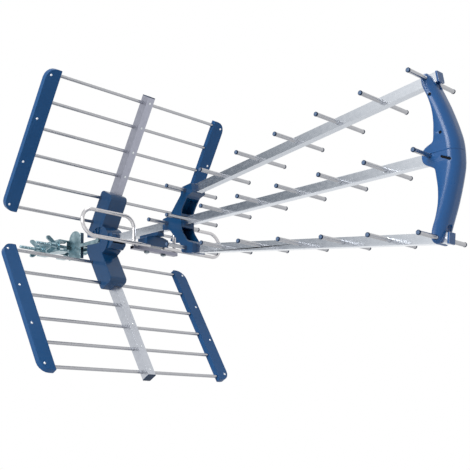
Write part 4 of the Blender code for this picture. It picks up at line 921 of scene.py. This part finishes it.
# painted shade: a black-blue skin inside each opening stands for the shade in the hollow
painted_shade_skin = bmesh.new()
for inset, share in DRILLED:
    z = BOW_TOP * share
    x = bow_rear(z) + inset
    cut(bow_piece, drill(HOLE_R, (x, OUTSIDE, z), (x, RIGHT + HOLE_DEPTH, z), 24))
    drill(HOLE_R - IN, (x, RIGHT + SKIN_FROM, z), (x, RIGHT + HOLE_DEPTH - IN, z), 24, painted_shade_skin)
slot_turn = (Matrix.Translation(((BOW_X + BOW_DEPTH - SLOT_BACK) * MM, 0, SLOT_Z * MM))
             @ Matrix.Rotation(SLOT_TURN, 4, "Y"))
slot = block((-SLOT_HALF, OUTSIDE, -SLOT_R), (SLOT_HALF, RIGHT + SLOT_DEPTH, SLOT_R), slot_turn)
block((-SLOT_HALF + IN, RIGHT + SLOT_SKIN_FROM, -SLOT_R + IN),
      (SLOT_HALF - IN, RIGHT + SLOT_DEPTH - IN, SLOT_R - IN), slot_turn, painted_shade_skin)
cut(bow_piece, slot)
for hand in (1, -1):
    end = slot_turn @ Vector((hand * SLOT_HALF * MM, 0, 0)) / MM
    cut(bow_piece, drill(SLOT_R, (end.x, OUTSIDE, end.z), (end.x, RIGHT + SLOT_DEPTH, end.z), 20))
    drill(SLOT_R - IN, (end.x, RIGHT + SLOT_SKIN_FROM + APART, end.z),
          (end.x, RIGHT + SLOT_DEPTH - IN - APART, end.z), 20, painted_shade_skin)
print("dark skin:", len(painted_shade_skin.faces), "faces")

# %% Screw recesses
SCREW_FROM_END, SEAT_DEPTH = 27.0, 7.0
RECESS_R, RECESS_OUT, SHANK_ROOM_R, SHANK_ROOM, INTO_RECESS = 8.4, 70, 2.8, 8.3, 1
BOW_SHARP = 38
screw_z = BOW_TOP - SCREW_FROM_END
seat_x = bow_front(screw_z) - SEAT_DEPTH
for side in (1, -1):
    z = side * screw_z
    cut(bow_piece, drill(RECESS_R, (seat_x, 0, z), (seat_x + RECESS_OUT, 0, z)))
    cut(bow_piece, drill(SHANK_ROOM_R, (seat_x - SHANK_ROOM, 0, z), (seat_x + INTO_RECESS, 0, z), 20))
settle(bow_piece, BOW_SHARP)
finish_piece(bow_piece, "antenna", "blue_plastic", "front_bracket")
# the painted shade in the bow's openings is a piece of its own
finish_piece(mesh_piece("bow_hole_shade", painted_shade_skin, PAINTED_SHADE), "antenna", "blue_plastic")
for word in ("upper", "lower"):
    soften(f"{word}_coin_screw", f"{word}_locking_screw", BRACKET_ABS, 0.4, f"{word}_screw",
           "blue_plastic")


# %% [markdown]
# ## Hub and yoke
# The two dark mouldings that hold the booms' rear ends and the reflector. Their solids have
# the right form, so only their edges change: wide roundings of three steps, as a mould has.

# %% Hub and yoke
soften("hub_moulding", "hub", HUB_ABS, 1.6, "antenna", "dark_blue_plastic", segments=3)
soften("yoke_moulding", "rear_yoke", HUB_ABS, 1.3, "antenna", "dark_blue_plastic", segments=3)


# %% [markdown]
# ## Dipole box and strap
# The box covers the place where the dipole's two halves end. A flat bar under it straps them
# together, with a nut and the end of a screw at each side, made by two of the turned trees.

# %% Dipole box
STRAP_BOTTOM, NUT_X, NUTS_Y = -56.2, 363, (-24, 28)
soften("dipole_box_case", "dipole_box", HUB_ABS, 0.6, "antenna", "dark_blue_plastic")
soften("dipole_box_cover", "dipole_box_lid", HUB_ABS, 0.6, "antenna", "dark_blue_plastic")
soften("dipole_bar", "dipole_strap", STRAP_METAL, 0.4, "antenna", "boom_aluminium")
under = [Vector((NUT_X, y, STRAP_BOTTOM)) * MM for y in NUTS_Y]
strap_nuts = grow("strap_nuts", HEX_TREE, under, [(0, 0, -1)] * 2, {
    "Length": 4.2 * MM, "Radius": 6.4 * MM, "Sides": 6, "Finish": NUT_METAL})
finish_piece(strap_nuts, "antenna", "zinc_plated_steel")
strap_screws = grow("strap_screws", PAN_TREE, under, [(0, 0, -1)] * 2, {
    "Length": 6.6 * MM, "Radius": 2.6 * MM, "Sides": 16, "Finish": SCREW_METAL})
finish_piece(strap_screws, "antenna", "zinc_plated_steel")


# %% [markdown]
# ## Folded dipole
# Two bent tubes. A tube's path is drawn with sharp corners and the Fillet Curve node bends it,
# as a tube bender does. The radius of each bend is an attribute of the path's points.

# %% The bent tube's tree
bent_tree, fed = new_tree("bent tube", {"Radius": SIZE, "Sides": WHOLE, "Bend Steps": WHOLE,
                                        "Finish": STUFF})
path = add_node(bent_tree, "GeometryNodeMeshToCurve", {"Mesh": fed["Geometry"]})
bend = add_node(bent_tree, "GeometryNodeInputNamedAttribute", {"Name": "bend"}, data_type="FLOAT")
bent = add_node(bent_tree, "GeometryNodeFilletCurve", {
    "Curve": path.outputs["Curve"], "Count": fed["Bend Steps"], "Radius": bend.outputs["Attribute"],
    "Limit Radius": True}, mode="POLY")
section = add_node(bent_tree, "GeometryNodeCurvePrimitiveCircle", {
    "Resolution": fed["Sides"], "Radius": fed["Radius"]})
bent_skin = add_node(bent_tree, "GeometryNodeCurveToMesh", {
    "Curve": bent.outputs["Curve"], "Profile Curve": section.outputs["Curve"], "Fill Caps": True})
end_tree(bent_tree, bent_skin.outputs["Mesh"], fed["Finish"])

# %% Dipole
DIPOLE_X, BACK, DIPOLE_R = 371.0, 8.0, 4.3
START, OUT, LEG = 22, 217.0, 64.0
DIPOLE_LOW, DIPOLE_TOP, LEG_END = -43.5, 19.0, -47.8
OUT_BEND, LEG_BEND = 31.25, 27
corners = [(DIPOLE_X, START, DIPOLE_LOW, 0), (DIPOLE_X, OUT, DIPOLE_LOW, OUT_BEND),
           (DIPOLE_X - BACK, OUT, DIPOLE_TOP, OUT_BEND), (DIPOLE_X - BACK, LEG, DIPOLE_TOP, LEG_BEND),
           (DIPOLE_X - BACK, LEG, LEG_END, 0)]
for hand, word in ((1, "left"), (-1, "right")):
    route = bpy.data.meshes.new("route")
    route.from_pydata([(x * MM, hand * y * MM, z * MM) for x, y, z, _ in corners],
                      [(k, k + 1) for k in range(len(corners) - 1)], [])
    radius_of = route.attributes.new("bend", "FLOAT", "POINT")
    for k, corner in enumerate(corners):
        radius_of.data[k].value = corner[3] * MM
    loop = bake_tree(f"dipole_{word}_tube", route, bent_tree, {
        "Radius": DIPOLE_R * MM, "Sides": 24, "Bend Steps": 16, "Finish": TUBE_METAL})
    finish_piece(loop, "antenna", "rod_aluminium", f"dipole_{word}_loop")


# %% [markdown]
# ## Clamp
# Pressed and plated steel: the bracket, two toothed jaws, two bolts and their wing nuts. Their
# solids are right as they are, so they get only rounded edges. The bolts' thread is a thin
# ridge that winds up the shank, drawn by the Spiral node. A real M8 thread climbs 1.25 mm a
# turn; this one climbs 1.6 mm, so that it shows.

# %% Clamp pieces
soften("clamp_bracket", "mount_bracket", ZINC, 0.4, "clamp", "zinc_plated_steel")
soften("clamp_fixed_jaw", "fixed_jaw", ZINC, 0.4, "clamp", "zinc_plated_steel")
soften("clamp_sliding_jaw", "sliding_jaw", ZINC, 0.4, "jaw", "zinc_plated_steel")
for word in ("front", "rear"):
    soften(f"{word}_bolt", f"{word}_clamp_bolt", ZINC, 0.2, "clamp", "zinc_plated_steel")
    soften(f"{word}_butterfly", f"{word}_wing_nut", ZINC, 0.6, f"{word}_nut", "zinc_plated_steel")

# %% Threads
PITCH, THREADED, THREAD_R, RIDGE = 1.6, 62.0, 3.8, 0.4
BOLT_X, BOLT_TIP_Y, BOLT_Z = 35, -105.0, 8.0
thread_tree, wound = new_tree("thread", {"Length": SIZE, "Radius": SIZE, "Turns": SIZE, "Ridge": SIZE,
                                         "Finish": STUFF})
spiral = add_node(thread_tree, "GeometryNodeCurveSpiral", {
    "Resolution": 18, "Rotations": wound["Turns"], "Start Radius": wound["Radius"],
    "End Radius": wound["Radius"], "Height": wound["Length"]})
ridge = add_node(thread_tree, "GeometryNodeCurvePrimitiveCircle", {
    "Resolution": 4, "Radius": wound["Ridge"]})
thread_skin = add_node(thread_tree, "GeometryNodeCurveToMesh", {
    "Curve": spiral.outputs["Curve"], "Profile Curve": ridge.outputs["Curve"], "Fill Caps": True})
end_tree(thread_tree, thread_skin.outputs["Mesh"], wound["Finish"], wound["Geometry"])
tips = [Vector((x, BOLT_TIP_Y, BOLT_Z)) * MM for x in (BOLT_X, -BOLT_X)]
threads = grow("bolt_threads", thread_tree, tips, [(0, 1, 0)] * 2, {
    "Length": THREADED * MM, "Radius": THREAD_R * MM, "Turns": THREADED / PITCH, "Ridge": RIDGE * MM,
    "Finish": ZINC})
finish_piece(threads, "clamp", "zinc_plated_steel")
